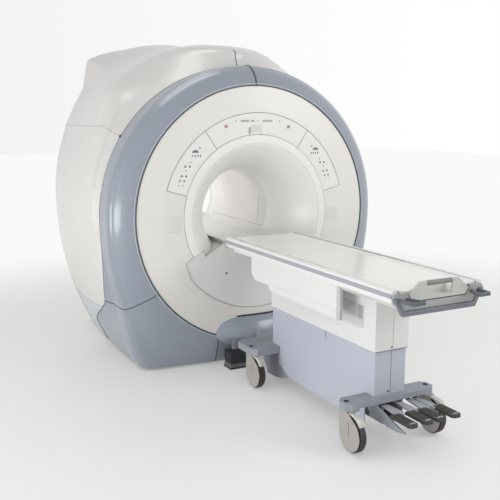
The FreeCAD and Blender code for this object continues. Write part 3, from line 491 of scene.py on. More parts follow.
def make_ring_and_feet():
    """The ring in two halves, a foot cover under each and the toe between the feet."""
    points, faces = blue_body(5, 56)
    whole = meet_shell(points), faces
    for mirror, side in hands:
        skin("ring_cover_" + side, whole, mirror,
             [lambda x, y, z: x - seam_half, lambda x, y, z: above_line(x, z, bezel_seam) - seam_half,
              lambda x, y, z: ring_rear_y(z) - y],
             blue_abs, "blue_housing", "bezel_" + side, lambda x, y, z: x < 1 and z > bore_z, 5.5)
        skin("foot_cover_skin_" + side, whole, mirror,
             [lambda x, y, z: -above_line(x, z, bezel_seam) - seam_half, above_floor,
              lambda x, y, z: x - toe_half - seam_half, ahead_of_foot_edge],
             blue_abs, "blue_housing", "foot_cover_" + side,
             lambda x, y, z: y < -849 or z > floor_gap + 1, 3.4)
    points, faces = blue_body(4, 26)
    both = points + [(-x, y, z) for x, y, z in points]
    faces = faces + [tuple(i + len(points) for i in face[::-1]) for face in faces]
    skin("toe_cover_skin", (both, faces), False,
         [lambda x, y, z: toe_half - seam_half - abs(x), lambda x, y, z: toe_back - y,
          above_floor, lambda x, y, z: bore_z - 300 - z],
         blue_abs, "blue_housing", "toe_cover")


# -------- white shell
# The shell as eight levels from the ring's edge to the back. A level holds the (y, radius) it has
# at the bore's height, at the side seam and at the four roof angles, then the half width at the
# floor, how far it sweeps back low down, and the side seam's angle. The third and fourth levels lie
# on both sides of the crease that runs over the shoulders.
shell_levels = (
    (-559.1, 1055, -559.1, 1049, -559.1, 1044.5, -559.1, 1040, -559.1, 1036, -559.1, 1034.5, 818, 0, 32),
    (-530, 1080, -500, 1097, -475, 1104, -445, 1106, -468, 1112, -537, 1094, 819, 60, 32.2),
    (-499, 1105, -446, 1142, -358, 1192, -216, 1204, -330, 1203, -508, 1158, 820, 240, 32.5),
    (-468, 1117, -408, 1153, -312, 1205, -170, 1215, -284, 1216, -470, 1176, 821, 250, 32.5),
    (-300, 1131, -250, 1156, -150, 1199, -60, 1213, -60, 1222, -60, 1234, 821, 190, 32.4),
    (100, 1130, 100, 1153, 100, 1189, 100, 1213, 100, 1223, 100, 1237, 818, 60, 32.5),
    (400, 1103, 400, 1134, 400, 1166, 400, 1240, 400, 1245, 400, 1251, 802, 0, 33.1),
    (shell_back, 1020, shell_back, 1103, shell_back, 1160, shell_back, 1347, shell_back, 1308,
     shell_back, 1302, 760, 0, 34))
roof_angles = (45, 58, 74, 90)
sweep_height = 600  # the sweep comes in over this height below the bore's axis
cover_skirt = 398  # lower edge of the side covers
plinth_inset = 8
side_seam_half = 0.03  # degrees
shell_table = flow(shell_levels, 110)
# how far the shoulder lies below the curve through the levels at the back: (degrees, millimetres)
shoulder_hollow = ((33, 0), (43, -2), (46, -10), (49, -30), (51, -50),
                   (53, -46), (55.5, -38), (57, -18), (58.5, 0), (61, -10),
                   (67, -7), (72, -6), (79, 0))


def lean_x(half_width, floor_half, z):
    """The side leans in below the bore's height, on an arc that is upright at that height."""
    radius = arc_radius(bore_z, half_width - floor_half)
    return half_width - radius + np.sqrt(radius ** 2 - (bore_z - z) ** 2)


def swept_y(row, z):
    return row[0] + row[13] * smooth((bore_z - z) / sweep_height)


def side_at(y, z):
    """Half the shell's width at a depth and a height below the bore's axis."""
    columns = shell_table.T
    return float(np.interp(y, swept_y(columns, z), lean_x(columns[1], columns[12], z)))


def side_point(row, z, inset=0):
    return (float(lean_x(row[1], row[12], z)) - inset, swept_y(row, z), z)


def side_line(row, low, inset=0):
    """Down the side at one level, from a lowest height up to the bore's."""
    return [side_point(row, z, inset) for z in np.linspace(low, bore_z, 25)]


def flank_line(row, shift=0, inset=0):
    """From the bore's height up to the side seam."""
    y0, width, y1, r = row[0], row[1] - inset, row[2], row[3] - inset
    middle = polar(width + (r - width) * 0.3, row[14] / 2, y0 + (y1 - y0) * 0.3)
    points = [polar(width, -6, y0), polar(width, 0, y0), middle, polar(r, row[14] - shift, y1)]
    return [tuple(p) for p in flow(points, 12, 1)]


def hollow_out(point):
    """Draws the shoulder in towards the back, so that the rear outline has a corner there."""
    x, y, z = point
    angle = atan2(z - bore_z, x)
    share = smooth((y - 250) / 550)
    depth = share * float(np.interp(angle * 180 / pi, *zip(*shoulder_hollow)))
    return (x + depth * cos(angle), y, z + depth * sin(angle))


def top_line(row, shift=0, inset=0):
    """From the side seam over the shoulder to the middle of the roof."""
    angles = (row[14] + shift,) + roof_angles
    at = [polar(row[2 * k + 3] - inset, angle, row[2 * k + 2]) for k, angle in enumerate(angles)]
    at.append(polar(row[9] - inset, 180 - roof_angles[2], row[8]))
    over = [hollow_out(p) for p in flow(at, 64, 0, 4)]
    return over[:-1] + [(seam_half, over[-1][1], over[-1][2])]


def foot_edge_y(z):
    """Where the foot cover's rear edge passes a height."""
    ys, zs = zip(*reversed(foot_rear_edge))
    return float(np.interp(z, zs, ys))


def foot_edge_z(y):
    return float(np.interp(y, *zip(*foot_rear_edge)))


def shell_seams():
    """Lines along the ring's edge, the side seam, the side cover's skirt and the ring's low end."""
    first = shell_levels[0]
    rim = [polar(float(np.interp(a, (0, first[14]) + roof_angles, first[1:12:2])), a, bezel_back + 0.5)
           for a in range(0, 91, 2)]
    skirt = [side_point(row, cover_skirt) for row in shell_table
             if swept_y(row, cover_skirt) > foot_edge_y(cover_skirt)]
    low_end = [(side_at(ring_rear_y(z) + 0.5, z), ring_rear_y(z) + 0.5, z)
               for z in np.linspace(475, bore_z, 40)]
    return rim, [polar(row[3], row[14], row[2]) for row in shell_table], skirt, low_end


def make_white_shell():
    """Roof, flank and plinth covers of both sides, and light grey beads in their seams, painted as the seams'
    shade.
    """
    roof = net([top_line(row, side_seam_half) for row in shell_table])
    flank = net([side_line(row, cover_skirt + seam_half) + flank_line(row, side_seam_half)[1:]
                 for row in shell_table])
    plinth_rows = []
    for z in np.linspace(floor_gap, cover_skirt - seam_half, 15):
        depths = np.linspace(foot_edge_y(z - 1) + 1, shell_back, 60)
        plinth_rows.append([(side_at(y, z) - plinth_inset, y, z) for y in depths])
    plinth = net(plinth_rows)
    behind_ring = [lambda x, y, z: y - ring_rear_y(z) - 0.9,
                   lambda x, y, z: z - foot_edge_z(y) - 1 if y > foot_rear_edge[0][0] else 100]
    for mirror, side in hands:
        skin("roof_cover_" + side, roof, mirror, [], white_abs, "white_housing", "top_cover_" + side,
             lambda x, y, z: x < 1 and y < -497, 2.6)
        skin("flank_cover_" + side, flank, mirror, behind_ring, white_abs, "white_housing",
             "side_cover_" + side)
        skin("plinth_cover_" + side, plinth, mirror, [], plinth_abs, "white_housing", "plinth_" + side)
        solid("side_seam_shades_" + side, [bead(line, 1.7, sides=6) for line in shell_seams()], "gantry",
              side_seam_shade, None, mirror)


def back_outline(inset):
    """The right half of the shell's rear edge, from the floor to the top, then the left half."""
    row = shell_table[-1]
    right = side_line(row, floor_gap, inset) + flank_line(row, inset=inset)[1:]
    right += top_line(row, inset=inset)[1:]
    right = [(x, z) for x, _, z in right]
    right[-1] = (0, right[-1][1])
    floor = [(right[0][0] * (i / 12), right[0][1]) for i in range(-11, 12)]
    return right + [(-x, z) for x, z in right[-2::-1]] + floor


def make_rear_cover():
    """The back: rounded over from the shell's rear edge to a flat face with the rear mouth's hole."""
    rounding, hole_r, turns, rings = 60, 530, 8, 8
    start = shell_back + 0.9
    rows = []
    for i in range(turns + 1):
        a = radians(90 * i / turns)
        y = start + (rear_y - start) * sin(a)
        rows.append([(x, y, z) for x, z in back_outline(rounding * (1 - cos(a)))])
    edge = rows[-1]
    for i in range(1, rings + 1):
        row = []
        for x, y, z in edge:
            angle, share = atan2(z - bore_z, x), i / rings
            row.append((x + (hole_r * cos(angle) - x) * share, y,
                        z + (bore_z + hole_r * sin(angle) - z) * share))
        rows.append(row)
    bm = start_mesh(*net(rows, closed=True))
    turn_outward(bm)
    place("back_cover", bm, "gantry", white_abs, "white_housing", "rear_cover", wall=cover_wall, edge=2)


# -------- mouths, liner, dock
mouth_r = 496.5
collar_r = 563
collar_wall = 5
liner_half = 470
liner_wall = 8
bridge_half, bridge_level = 221.8, 867
apron_edge = ((-556, 768), (-494, 815), (-421, 845), (-412, 808), (-262, 898),
              (-250, 858), (250, 858), (262, 898), (412, 808), (421, 845),
              (494, 815), (556, 768))
apron_r = 665
dock_y = -860.9  # the face that the dock's housing stands on


def trumpet(y_face, direction, wall):
    """(radius, y) pairs along the trumpet from its neck to its mouth, moved outwards by a wall."""
    y_mouth, y_neck = y_face - direction * collar_wall, -direction * liner_half
    run, rise = abs(y_neck - y_mouth), mouth_r - bore_r
    curve_r = arc_radius(run, rise)
    turns = [2 * atan2(rise, run) * i / 32 for i in range(33)]
    return [(bore_r + curve_r - (curve_r - wall) * cos(a), y_neck - direction * (curve_r - wall) * sin(a))
            for a in turns]


def make_mouth(name, y_face, direction, cad_node, cuts=()):
    """The collar and trumpet of one mouth, with a rolled edge where they meet."""
    inner, outer = trumpet(y_face, direction, 0), trumpet(y_face, direction, 6)
    y_mouth = y_face - direction * collar_wall
    roll = [(mouth_r - 1.5, y_mouth + direction * 1.2), (mouth_r + 3, y_mouth), (mouth_r + 8, y_mouth),
            (collar_r - 5, y_mouth), (collar_r - 1.5, y_mouth + direction * 0.6),
            (collar_r, y_mouth + direction * 2.2), (collar_r, y_face), (mouth_r + 8, y_face)]
    bm = start_mesh(*lathe(inner[:-1] + roll + outer[::-1][1:]))
    for wanted in cuts:
        trim(bm, lambda p: wanted(p.x, p.y, p.z))
    bmesh.ops.recalc_face_normals(bm, faces=bm.faces)
    place(name, bm, "gantry", mouth_abs, "mouth_white", cad_node, sharp=50)


def clear_of_apron(x, y, z):
    """Positive outside the apron's outline, or behind it."""
    half = apron_edge[-1][0] + 0.9
    over = above_line(x, z, apron_edge) - 0.9 if abs(x) < half else abs(x) - half
    return max(over, y + 867)


def make_mouths_and_liner():
    make_mouth("front_mouth", front_y, 1, "front_funnel", [clear_of_apron])
    make_mouth("rear_mouth", rear_y, -1, "rear_funnel")
    outer_r = bore_r + liner_wall
    tube = lathe([(bore_r, -liner_half), (bore_r, liner_half), (outer_r, liner_half), (outer_r, -liner_half),
                  (bore_r, -liner_half)])
    solid("liner_tube", [tube], "gantry", liner_laminate, "bore_laminate", replaces="bore_liner")


def make_bore_details():
    """Wings that join the bridge to the trumpets' floors, and grey lines along and across the liner, painted
    as the shade at the bridge's ledges and at a joint.
    """
    wing_drop, wing_x = 58, bridge_half - 3
    for direction, tag, y_face in ((1, "front", front_y), (-1, "rear", rear_y)):
        depths, radii = zip(*sorted((y, r) for r, y in trumpet(y_face, direction, 0)))
        for side, hand in ((-1, "left"), (1, "right")):
            rows = []
            for y in np.linspace(direction * -866, direction * -480, 16):
                r = float(np.interp(y, depths, radii))
                z_wall = bridge_level - wing_drop * (r - bore_r) / (mouth_r - bore_r)
                x_wall = sqrt(r ** 2 - (bore_z - z_wall) ** 2) + 1.5
                rows.append([(side * (wing_x + (x_wall - wing_x) * t), y,
                              bridge_level + (z_wall - bridge_level) * t ** 1.5)
                             for t in (0, 0.25, 0.5, 0.75, 1)])
            bm = start_mesh(*net(rows))
            bmesh.ops.recalc_face_normals(bm, faces=bm.faces)
            if sum(f.normal.z for f in bm.faces) < 0:
                bmesh.ops.reverse_faces(bm, faces=bm.faces)
            place("bridge_wing_%s_%s" % (tag, hand), bm, "gantry", bridge_plastic, "bridge_plastic", wall=5)
    lines = []
    for side in (1, -1):
        for x, z, radius in ((263, 925.5, 2.2), (221, 869, 2.4)):
            lines.append(bead([(side * x, y, z) for y in (-468, -150, 150, 468)], radius))
        lines.append(bead([(side * x, y, z) for x, y, z in arc(bore_r - 0.6, -22, 14, -335, 12)], 1.3))
    solid("liner_edge_shades", lines, "gantry", panel_ink, None)


def make_dock_housing():
    """The bowed housing at the floor that the table docks to."""
    levels = flow(((250, 55, 150), (330, 0, 225), (300, 30, 308), (205, 84, 350)), 20)
    rows = [[(x, dock_y + y, z) for x, y in bow(half, 109.1 - back, 33)] for half, back, z in levels]
    ends = [[(x * 0.02, dock_y + (y - dock_y) * 0.02, z) for x, y, z in row] for row in (rows[0], rows[-1])]
    solid("dock_shell", [net([ends[0]] + rows + [ends[1]])], "gantry", blue_abs, "blue_housing",
          replaces="dock_housing", sharp=35, edge=4)


# -------- what is on the front
panel_edge_r = 715
panel_dividers = (163.5, 124, 55.5, 15)
seam_shade_y = front_y - 0.2
apron_seam_shade_y = -876.4
print_layer = (front_y - 0.5, front_y + 0.5)
full_turn = 360 * 127 / 128
# printed dots of a keypad (x, z, radius), its row of marks, and the display's bars (x0, x1)
key_dots = ((512, 1456, 5), (550, 1429, 7.5), (517, 1429, 7.5), (547, 1402, 4.5), (577, 1367, 7.5),
            (545, 1364, 7.5), (590, 1335, 6.5), (559, 1333, 6.5), (599, 1304, 4), (570, 1302, 4),
            (442, 1548, 6))
key_row = (438, 457, 477, 496)
display_bars = ((-178, -170), (-134, -71), (-58, -28), (-6, 0), (36, 114), (168, 175))


def make_front_seam_shades():
    """Dark lines round the front cover, the panels, the collar and the apron, painted as the shade in their
    shut lines and at the collar's crease, and a light line painted as the highlight on the ring's lip.
    """
    # a dark bead round the rim: painted shade of the gap between the ring and the front cover
    wire("rim_seal", arc(rim_r + 3.5, 0, full_turn, rim_y - 2, 127), 3.6, "gantry", seam_shade, closed=True)
    # a light line on the ring's lip just outside the rim: painted highlight
    wire("ring_lip_highlight", arc(rim_r + 15.5, 0, full_turn, rim_y - 0.4, 127), 2.4, "gantry", lip_highlight,
         "blue_housing", closed=True)
    # grey beads round the keypads, between them and round the collar: painted shade of their shut lines
    lines = [bead(arc(panel_edge_r, panel_dividers[3], panel_dividers[0], seam_shade_y), 1.9),
             bead(arc(collar_r + 1, -27.4, 207.4, seam_shade_y, 128), 1.9)]
    for angle in panel_dividers:
        lines.append(bead([polar(r, angle, seam_shade_y) for r in (collar_r + 1, 620, 680, panel_edge_r)], 1.8))
    solid("panel_seam_shades", lines, "gantry", fine_seam_shade, None)
    # a grey line where the flat collar turns into the trumpet: painted shade of the crease
    wire("collar_crease_shade", arc(505, -27.9, 207.9, front_y - collar_wall - 0.1), 1, "gantry", panel_ink)
    # a grey bead round the apron: painted shade of its shut line
    low = [polar(apron_r + 0.5, a, apron_seam_shade_y) for a in np.linspace(-141, -39, 50)]
    high = [(x, apron_seam_shade_y, z) for x, z in apron_edge]
    wire("apron_seal", low + high[::-1], 1.7, "gantry", fine_seam_shade, closed=True)


def make_prints():
    """Symbols printed on the keypads and on the display: dots, half discs and bars, no letters."""
    dark = []
    for side in (1, -1):
        dark += [disc(side * x, z, radius, *print_layer) for x, z, radius in key_dots]
        dark += [disc(side * x, 1498, 5, *print_layer, squash=1.5) for x in key_row]
        half_disc = [(side * 475 + 24 * cos(radians(a)), 1519 + 19 * sin(radians(a)))
                     for a in range(0, 181, 15)]
        dark.append(slab(half_disc, "y", *print_layer))
    grey = [slab(rect(x0, 1721, x1, 1735), "y", *print_layer) for x0, x1 in display_bars]
    grey.append(disc(-64, 1661, 12, *print_layer, squash=2.2))
    grey.append(slab(rect(6, 1635.5, 45, 1639.5), "y", *print_layer))
    lobe = disc(-38, 1667, 12, *print_layer, squash=2)
    solid("keypad_prints", dark, "gantry", print_ink, "control_film")
    solid("display_prints", grey, "gantry", panel_ink, "control_film")
    solid("display_lobe", [lobe], "gantry", frosted_acrylic, "control_film")


def make_small_gantry_fittings():
    """Dark dots at the side seams' ends, painted as the shade of holes, the apron's screw, a dark bead
    painted as the shade along the dock's top, and the dock's feet, their plates painted black as shade.
    """
    end_dots = [bead([polar(1050, a, -560.5) for a in turns], 7)
             for turns in ((147.6, 148, 148.4), (31.6, 32, 32.4))]
    solid("seam_end_shade", end_dots, "gantry", painted_shade_black, None)
    solid("apron_screw", [disc(-249, 675, 9, -877.6, -875)], "gantry", print_ink, None, edge=0.8)
    end = [(226, -862.5, 346), (246, -862.5, 337)]
    line = [(-x, y, z) for x, y, z in reversed(end)]
    line += [(x, dock_y + y - 1, 351) for x, y in bow(205, 25.1, 30)] + end
    wire("dock_seal", line, 6.5, "gantry", painted_shade_black)
    # the plates are painted black as the shade under the dock's housing; the bands keep their grey
    plates, bands = [], []
    for x in (-200, 200):
        for low, high, inset, layer in ((0.5, 16, 0, plates), (16, 38, 5, bands),
                                        (38, 54, 9, plates), (54, 124, 5, plates)):
            half = 76 - inset
            layer.append(slab(rect(x - half, -986 + inset, x + half, -879), "z", low, high))
    solid("dock_floor_plates", plates, "gantry", painted_shade_black, "dock_steel", edge=3)
    solid("dock_foot_bands", bands, "gantry", band_paint, "dock_steel", edge=3)


# -------- what is on the table
rail_x, rail_high = 286, 943
cap_y = deck_y0  # the end cap's rear face
handle_y0, handle_y1 = -2758, -2744
upper_front_y, lower_front_y = -2407, -2399  # front faces of the two telescoping covers
# (x, y) of the casters' stems
casters = {"front_left": (-272, -2378), "front_right": (272, -2378),
           "rear_left": (-272, -1290), "rear_right": (272, -1290)}
trail = 65  # how far an axle lies before its stem
wheel_r, hood_r = 97.5, 91.5
beam_clear = 214.4  # highest that a hood may reach under the beams
# x of a pedal's pad, x of its arm, and from where to where the arm's end reaches
pedals = ((-84, -48, -80, -19), (16, 46, 16, 76), (98, 128, 92, 149.5), (205, 175, 153.5, 204))


def both_sides(right):
    return list(right) + [(-x, z) for x, z in reversed(right)]


def make_end_cap():
    """A blue-grey rim, the grey plate behind it, and a black strip in the gap round the cradle's handle,
    painted as the gap's shade.
    """
    rim = both_sides([(232, 811), (286, 905), (258, 905), (222, 838)])
    solid("cap_rim", [slab(rim, "y", cap_y - 24, cap_y)], "table_top", cap_plastic, "cap_plastic", edge=4,
          replaces="end_cap")
    plate = both_sides([(222, 838.5), (257.5, 905), (286, 905), (285, 913), (279, 922),
                        (268, 928), (207, 929), (199, 925), (197, 914), (173, 876)])
    solid("cap_plate", [slab(plate, "y", cap_y - 16, cap_y)], "table_top", plate_plastic, "cap_plastic",
          edge=3, replaces="end_cap")
    gap = both_sides([(197, 926), (197, 914), (173, 876)])
    inner = both_sides([(191, 926), (191, 914), (167.5, 881.5)])
    solid("handle_gap_shade", [slab(gap + inner[::-1], "y", cap_y - 2.5, cap_y - 0.6)], "table_top", painted_shade_black, None)


def make_cradle_handle():
    """The cradle's handle, a plate with a slot, and the round sleeve on its bar."""
    outline = [(-168, 881), (-60, 881), (60, 881), (168, 881), (192, 914), (126, 972), (-126, 972),
               (-192, 914)]
    slot = [(-83, 898), (-30, 898), (30, 898), (83, 898), (83, 918), (83, 950), (-83, 950), (-83, 918)]
    loop = ((outline, handle_y0), (slot, handle_y0), (slot, handle_y1), (outline, handle_y1))
    rows = [[(x, y, z) for x, z in line] for line, y in loop + loop[:1]]
    solid("handle_plate", [net(rows, closed=True)], "cradle", handle_nylon, "handle_plastic", edge=3,
          replaces="cradle_handle")
    bar = [(x, (handle_y0 + handle_y1) / 2, 961) for x in (-80, -40, 0, 40, 80)]
    solid("handle_sleeve", [bead(bar, 13, sides=20)], "cradle", sleeve_rubber, "grip_grey",
          replaces="cradle_grip", edge=2)


# pieces of the table top that are the same on both sides: name, shape, finish, slot and edge
bumper = [(rail_x - 1, 901), (rail_x + 2.6, 902.5), (rail_x + 4, 908), (rail_x + 4, 919),
          (rail_x + 2.6, 924.5), (rail_x - 1, 926)]
latch = [(-2274, 836), (-2256, 836), (-2252, 884), (-2266, 884)]
side_plates = (
    ("bumper_foot_", slab(bumper, "y", deck_y0, -2230), rail_bumper, "rail_aluminium", 1.2),
    ("bumper_near_", slab(bumper, "y", -2228, deck_y1), rail_bumper, "rail_aluminium", 1.2),
    ("rail_wiper_", slab(rect(247, 928, 252.2, 941), "y", deck_y0 + 2, deck_y1 - 2), plate_light, None, 0),
    ("side_post_", slab(rect(-2258, 672, -2226, 885), "x", 226, 246), plate_light, "pedestal_white", 3),
    ("post_latch_", slab(latch, "x", 232, 240), plate_plastic, None, 2),
    # a darker grey tray and a grey pocket in the cover's recess: painted shade of the recess
    ("recess_shade_tray_", slab(rect(-2296, 624, -2100, 748), "x", 108.6, 110.4), recess_shade_grey, "pedestal_white", 0.6),
    ("recess_pocket_shade_", slab(rect(-2286, 668, -2244, 742), "x", 109.6, 111.2), panel_ink, None, 0.6))
height_mark = slab(rect(-1921, 464, -1915, 503), "x", 103.5, 105.2)


def make_table_sides():
    """The rails' bumpers and wipers, grey lines painted as the shade of the gaps beside the cradle, the posts
    with their latches, recesses painted darker as their shade, and marks.
    """
    gap_shade = [(251, y, rail_high - 0.6) for y in (-2190, -1800, -1300, deck_y1 - 2)]
    end_gap_shade = [(249, y, rail_high - 1.8) for y in (-2700, -2500, -2210)]
    for mirror, side in hands:
        for name, shape, material, slot, edge in side_plates:
            solid(name + side, [shape], "table_top", material, slot, mirror, edge=edge)
        solid("height_mark_" + side, [height_mark], "table_base", cap_plastic, None, mirror)
        # grey beads in the gaps between the cradle and the rails: painted shade of the gaps
        wire("rail_gap_shade_" + side, gap_shade, 1.7, "table_top", panel_ink, None, mirror)
        wire("rail_gap_shade_end_" + side, end_gap_shade, 0.8, "table_top", panel_ink, None, mirror)


def make_pedestal_details():
    """Dark lines down the covers' fronts, painted as the shade in their shut lines, a darker bead painted as
    the shadow at the telescoping edge, and the covers' screws.
    """
    upper = [(8, upper_front_y + 0.6, z) for z in (534, 650, 760, 836)]
    lower = [(5, lower_front_y + 0.6, z) for z in (268, 350, 440, 505)]
    middle = [(x, upper_front_y + 2.5, 512) for x in (-111, 0, 111)]
    wire("upper_front_line", upper, 1.3, "table_top", panel_ink)
    wire("lower_front_line", lower, 1.3, "table_base", cap_plastic)
    # a dark bead at the telescoping edge: painted shadow under the upper cover's lower edge
    wire("telescope_shadow_line", middle, 2.4, "table_top", seam_shade)
    for name, x, z, y, body in (("upper_screw", 0, 528, upper_front_y, "table_top"),
                                ("lower_screws", -9, 276, lower_front_y, "table_base")):
        solid(name, [disc(x, z, 6.5, y - 1.6, y + 1.5)], body, print_ink, None, edge=0.8)


def make_pedal_pads():
    """Covers over the four pedals' arms, and ribbed rubber pads with a bright strip at each tip."""
    tip, heel, half, rib_half = -2716.8, -2552, 31.5, 25
    for number, (x, arm_x, low, high) in enumerate(pedals, 1):
        body = "pedal_%d" % number
        arm = [(low, -2552.5), (high, -2552.5), (arm_x + 17, -2414), (arm_x - 17, -2414)]
        solid("pedal_arm_%d" % number, [slab(arm, "z", 201.5, 214.5)], body, pedal_steel, "pedal_rubber",
              edge=4)
        outline = [(x - half, heel), (x - half, tip + 15), (x - 17, tip), (x + 17, tip),
                   (x + half, tip + 15), (x + half, heel)]
        shapes = [slab(outline, "z", 196.5, 213.8)]
        for y in (tip + 46 + 16 * k for k in range(7)):
            shapes.append(slab(rect(x - rib_half, y, x + rib_half, y + 7), "z", 213, 216.4))
        solid("pedal_pad_%d" % number, shapes, body, pad_rubber, "pedal_rubber", edge=2)
        strip = slab(rect(x - 14, tip + 20, x + 22, tip + 27), "z", 213, 215.4)
        solid("pedal_strip_%d" % number, [strip], body, zinc_steel, None, edge=0.6)


def make_caster_details(tag, x, y):
    """One caster's stem hole on the beam, a dark disc painted as the hole's shade, its brake shoe, round hood
    over the fork and the hood's slots.
    """
    solid("stem_hole_shade_" + tag, [slab(circle(x, y, 15, 24), "z", 259.2, 262)], "table_base", painted_shade_black, None,
          edge=1)
    fork, axle = "caster_fork_" + tag, y - trail
    shoe = [(axle + y, z) for y, z in ((22, 203), (-20, 200), (-45, 189), (-66, 172.5), (-79, 160.5),
                                       (-90, 170), (-86, 190), (-66, 207), (-20, 213), (22, 213))]
    solid("brake_shoe_" + tag, [slab(shoe, "x", x - 15, x + 15)], fork, zinc_cast, "caster_shell", edge=3)
    turns = [radians(angle) for angle in range(120, 361, 8)]
    hood = [(axle + 22, beam_clear)] + [(axle + hood_r * cos(a), wheel_r + hood_r * sin(a)) for a in turns]
    hood.append((axle + 88, beam_clear))
    solid("hood_side_" + tag, [slab(hood, "x", x - 25.5, x - 22.1), slab(hood, "x", x + 22.1, x + 25.5)],
          fork, hood_nylon, "caster_shell", edge=1.4)
    slots = [bead([(x + out, axle + 4, z) for z in (96, 130, 164)], 2.2) for out in (-25.6, 25.6)]
    solid("hood_slots_" + tag, slots, fork, cap_plastic, None)


make_ring_and_feet()
make_white_shell()
make_front_seam_shades()
make_prints()
make_small_gantry_fittings()
make_end_cap()
make_cradle_handle()
make_table_sides()
make_pedestal_details()
make_pedal_pads()
for tag, stem in casters.items():
    make_caster_details(tag, *stem)
make_rear_cover()
make_mouths_and_liner()
make_bore_details()
make_dock_housing()

# -------- finishes of the solids that stay
kept = (
    (fascia_abs, 2, "front_cover"), (keypad_film, 0, "display_panel control_panel_left control_panel_right"),
    (frosted_acrylic, 0.8, "laser_windows"), (red_button, 1.2, "stop_button"),
    (grey_button, 1.2, "light_button"), (apron_abs, 2, "apron"), (bridge_plastic, 1.5, "bore_bridge"),
    (vessel_paint, 0, "magnet_vessel"), (coil_resin, 0, "gradient_coil"), (frame_paint, 0, "base_frame"),
    (zinc_steel, 0, "cold_head lift_rams"), (dock_paint, 0, "lift_guides"), (dock_paint, 2, "dock_feet"),
    (powder_blue, 1.5, "base_chassis"), (table_blue, 3, "lower_cover"), (table_white, 4, "upper_cover"),
    (table_white, 2, "table_frame"), (rail_coat, 5, "side_rail_left side_rail_right"),
    (table_white, 3, "side_panel_left side_panel_right"), (cradle_gelcoat, 3, "cradle"),
    (grip_rubber, 4, "push_grip_left push_grip_right"), (pedal_steel, 3, "pedal_1 pedal_2 pedal_3 pedal_4"),
    (hood_nylon, 1, " ".join("caster_fork_" + tag for tag in casters)),
    (tyre_rubber, 3, " ".join("caster_wheel_" + tag for tag in casters)))
for material, edge, names in kept:
    for item in (nodes[name] for name in names.split()):
        item.data.materials.clear()
        item.data.materials.append(material)
        soften(item, edge)


# -------- camera, floor and light
ambient_level = 0.75
ambient_slope = (-0.10, 0.11, -0.13)  # brighter from the left and the back, dimmer from above
floor_glow = 0.28  # share of the floor's own white that fills the shadow
fade_start, fade_end = 2.2, 5.5  # metres from the machine's middle to the studio's white


def seen_directly(owner):
    """1 for rays from the camera, in gloss and through glass, which see the studio's white."""
    rays = add_node(owner, "LightPath")
    total = (rays, "Is Camera Ray")
    for output in ("Is Glossy Ray", "Is Transmission Ray"):
        total = (add_node(owner, "Math", {"operation": "MAXIMUM"}, {0: total, 1: (rays, output)}), 0)
    return total


def make_stage():
    """A pale floor that keeps the machine's soft shadow and fades into the white of the studio."""
    points, faces = net([[(x, y, 0) for y in (-14, 30)] for x in (-24, 24)])
    mesh = bpy.data.meshes.new("studio_floor")
    mesh.from_pydata(points, [], faces)
    paper = blank("pale_floor_paper")
    where = add_node(paper, "TexCoord")
    fibres = add_node(paper, "TexNoise", {"Scale": 3, "Detail": 2}, {"Vector": (where, "Object")})
    tones = mix_tones(paper, linear("F1F0EE"), linear("EFEEEC"), (fibres, "Fac"))
    surface = add_node(paper, "BsdfPrincipled", {"Roughness": 0.6, "Specular IOR Level": 0.2},
        {"Base Color": (tones, 2)})
    away = add_node(paper, "VectorMath", {"operation": "DISTANCE", 1: (0, -1, 0)}, {0: (where, "Object")})
    fade = add_node(paper, "MapRange", {"interpolation_type": "SMOOTHSTEP", "From Min": fade_start,
                    "From Max": fade_end, "To Min": floor_glow}, {"Value": (away, "Value")})
    share = add_node(paper, "Math", {"operation": "MULTIPLY"}, {0: (fade, "Result"), 1: seen_directly(paper)})
    white = add_node(paper, "Emission", {"Color": linear("FAFAF9"), "Strength": 1})
    blend = add_node(paper, "MixShader", links={0: (share, 0), 1: (surface, 0), 2: (white, 0)})
    add_node(paper, "OutputMaterial", links={"Surface": (blend, "Shader")})
    mesh.materials.append(paper)
    add_object("studio_floor", mesh)


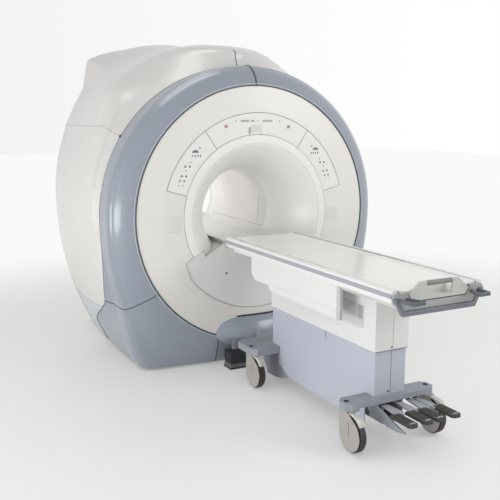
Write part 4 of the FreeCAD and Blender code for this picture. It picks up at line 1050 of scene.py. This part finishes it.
def make_world():
    """Even studio light from all round; the camera and reflections see a near-white backdrop."""
    world = bpy.data.worlds.new("studio")
    bpy.context.scene.world = world
    world.use_nodes = True
    world.node_tree.nodes.clear()
    way = add_node(world, "TexCoord")
    slope = add_node(world, "VectorMath", {"operation": "DOT_PRODUCT", 1: ambient_slope},
        {0: (way, "Generated")})
    level = add_node(world, "Math", {"operation": "ADD", 1: ambient_level}, {0: (slope, "Value")})
    ambient = add_node(world, "Background", {"Color": linear("FFFFFF")}, {"Strength": (level, 0)})
    parts = add_node(world, "SeparateXYZ", links={"Vector": (way, "Generated")})
    side = add_node(world, "MapRange", {"From Min": 0, "From Max": 0.65}, {"Value": (parts, "X")})
    paper = mix_tones(world, linear("EFEFEF"), linear("FFFFFF"), (side, "Result"))
    backdrop = add_node(world, "Background", {"Strength": 1}, {"Color": (paper, 2)})
    choice = add_node(world, "MixShader", links={0: seen_directly(world), 1: (ambient, 0), 2: (backdrop, 0)})
    add_node(world, "OutputWorld", links={"Surface": (choice, "Shader")})


def make_lamp(name, place_m, watts, size_m=None, aim_m=None, gloss_only=False):
    """A lamp that the camera doesn't see: a rectangle aimed at a point, which lights nothing but
    reflections where it is gloss_only, or a small ball without a reflection."""
    light = bpy.data.lights.new(name, "AREA" if aim_m else "POINT")
    lamp = add_object(name, light)
    light.energy = watts
    lamp.location, lamp.visible_camera, lamp.visible_diffuse = place_m, False, not gloss_only
    if aim_m:
        light.shape, light.size, light.size_y = "RECTANGLE", size_m[0], size_m[1]
        lamp.rotation_euler = (Vector(aim_m) - Vector(place_m)).to_track_quat("-Z", "Y").to_euler()
    else:
        light.shadow_soft_size, lamp.visible_glossy = 0.08, False


def make_camera():
    """The photograph's viewpoint, worked out from the round front and the table's edges."""
    lens = bpy.data.cameras.new("camera")
    lens.lens, lens.sensor_width = 53.52, 36
    camera = add_object("camera", lens)
    camera.location = (-2.4868, -5.4735, 1.7609)
    camera.rotation_euler = (radians(90 - 10.215), 0, radians(-27.805))
    bpy.context.scene.camera = camera


make_stage()
make_world()
make_camera()
make_lamp("left_softbox", (-5.2, -2.9, 0.75), 102, (3.2, 1.2), (0, -1.5, 0.5))
make_lamp("right_softbox", (3.3, -4.6, 3.3), 94, (2.6, 2.2), (0.3, -0.9, 1.1))
make_lamp("roof_strip", (-0.75, -0.35, 3.95), 15, (1.8, 0.7), (-0.6, -0.76, 1.95), gloss_only=True)
make_lamp("left_strip", (-4.6, -1.8, 2.3), 5, (0.15, 1.2), (-1, -0.7, 1.3))
make_lamp("bore_glow_front", (0, -0.15, 1.14), 1)
make_lamp("bore_glow_rear", (0, 0.4, 1.14), 2)
bpy.context.scene.view_settings.view_transform = "Standard"
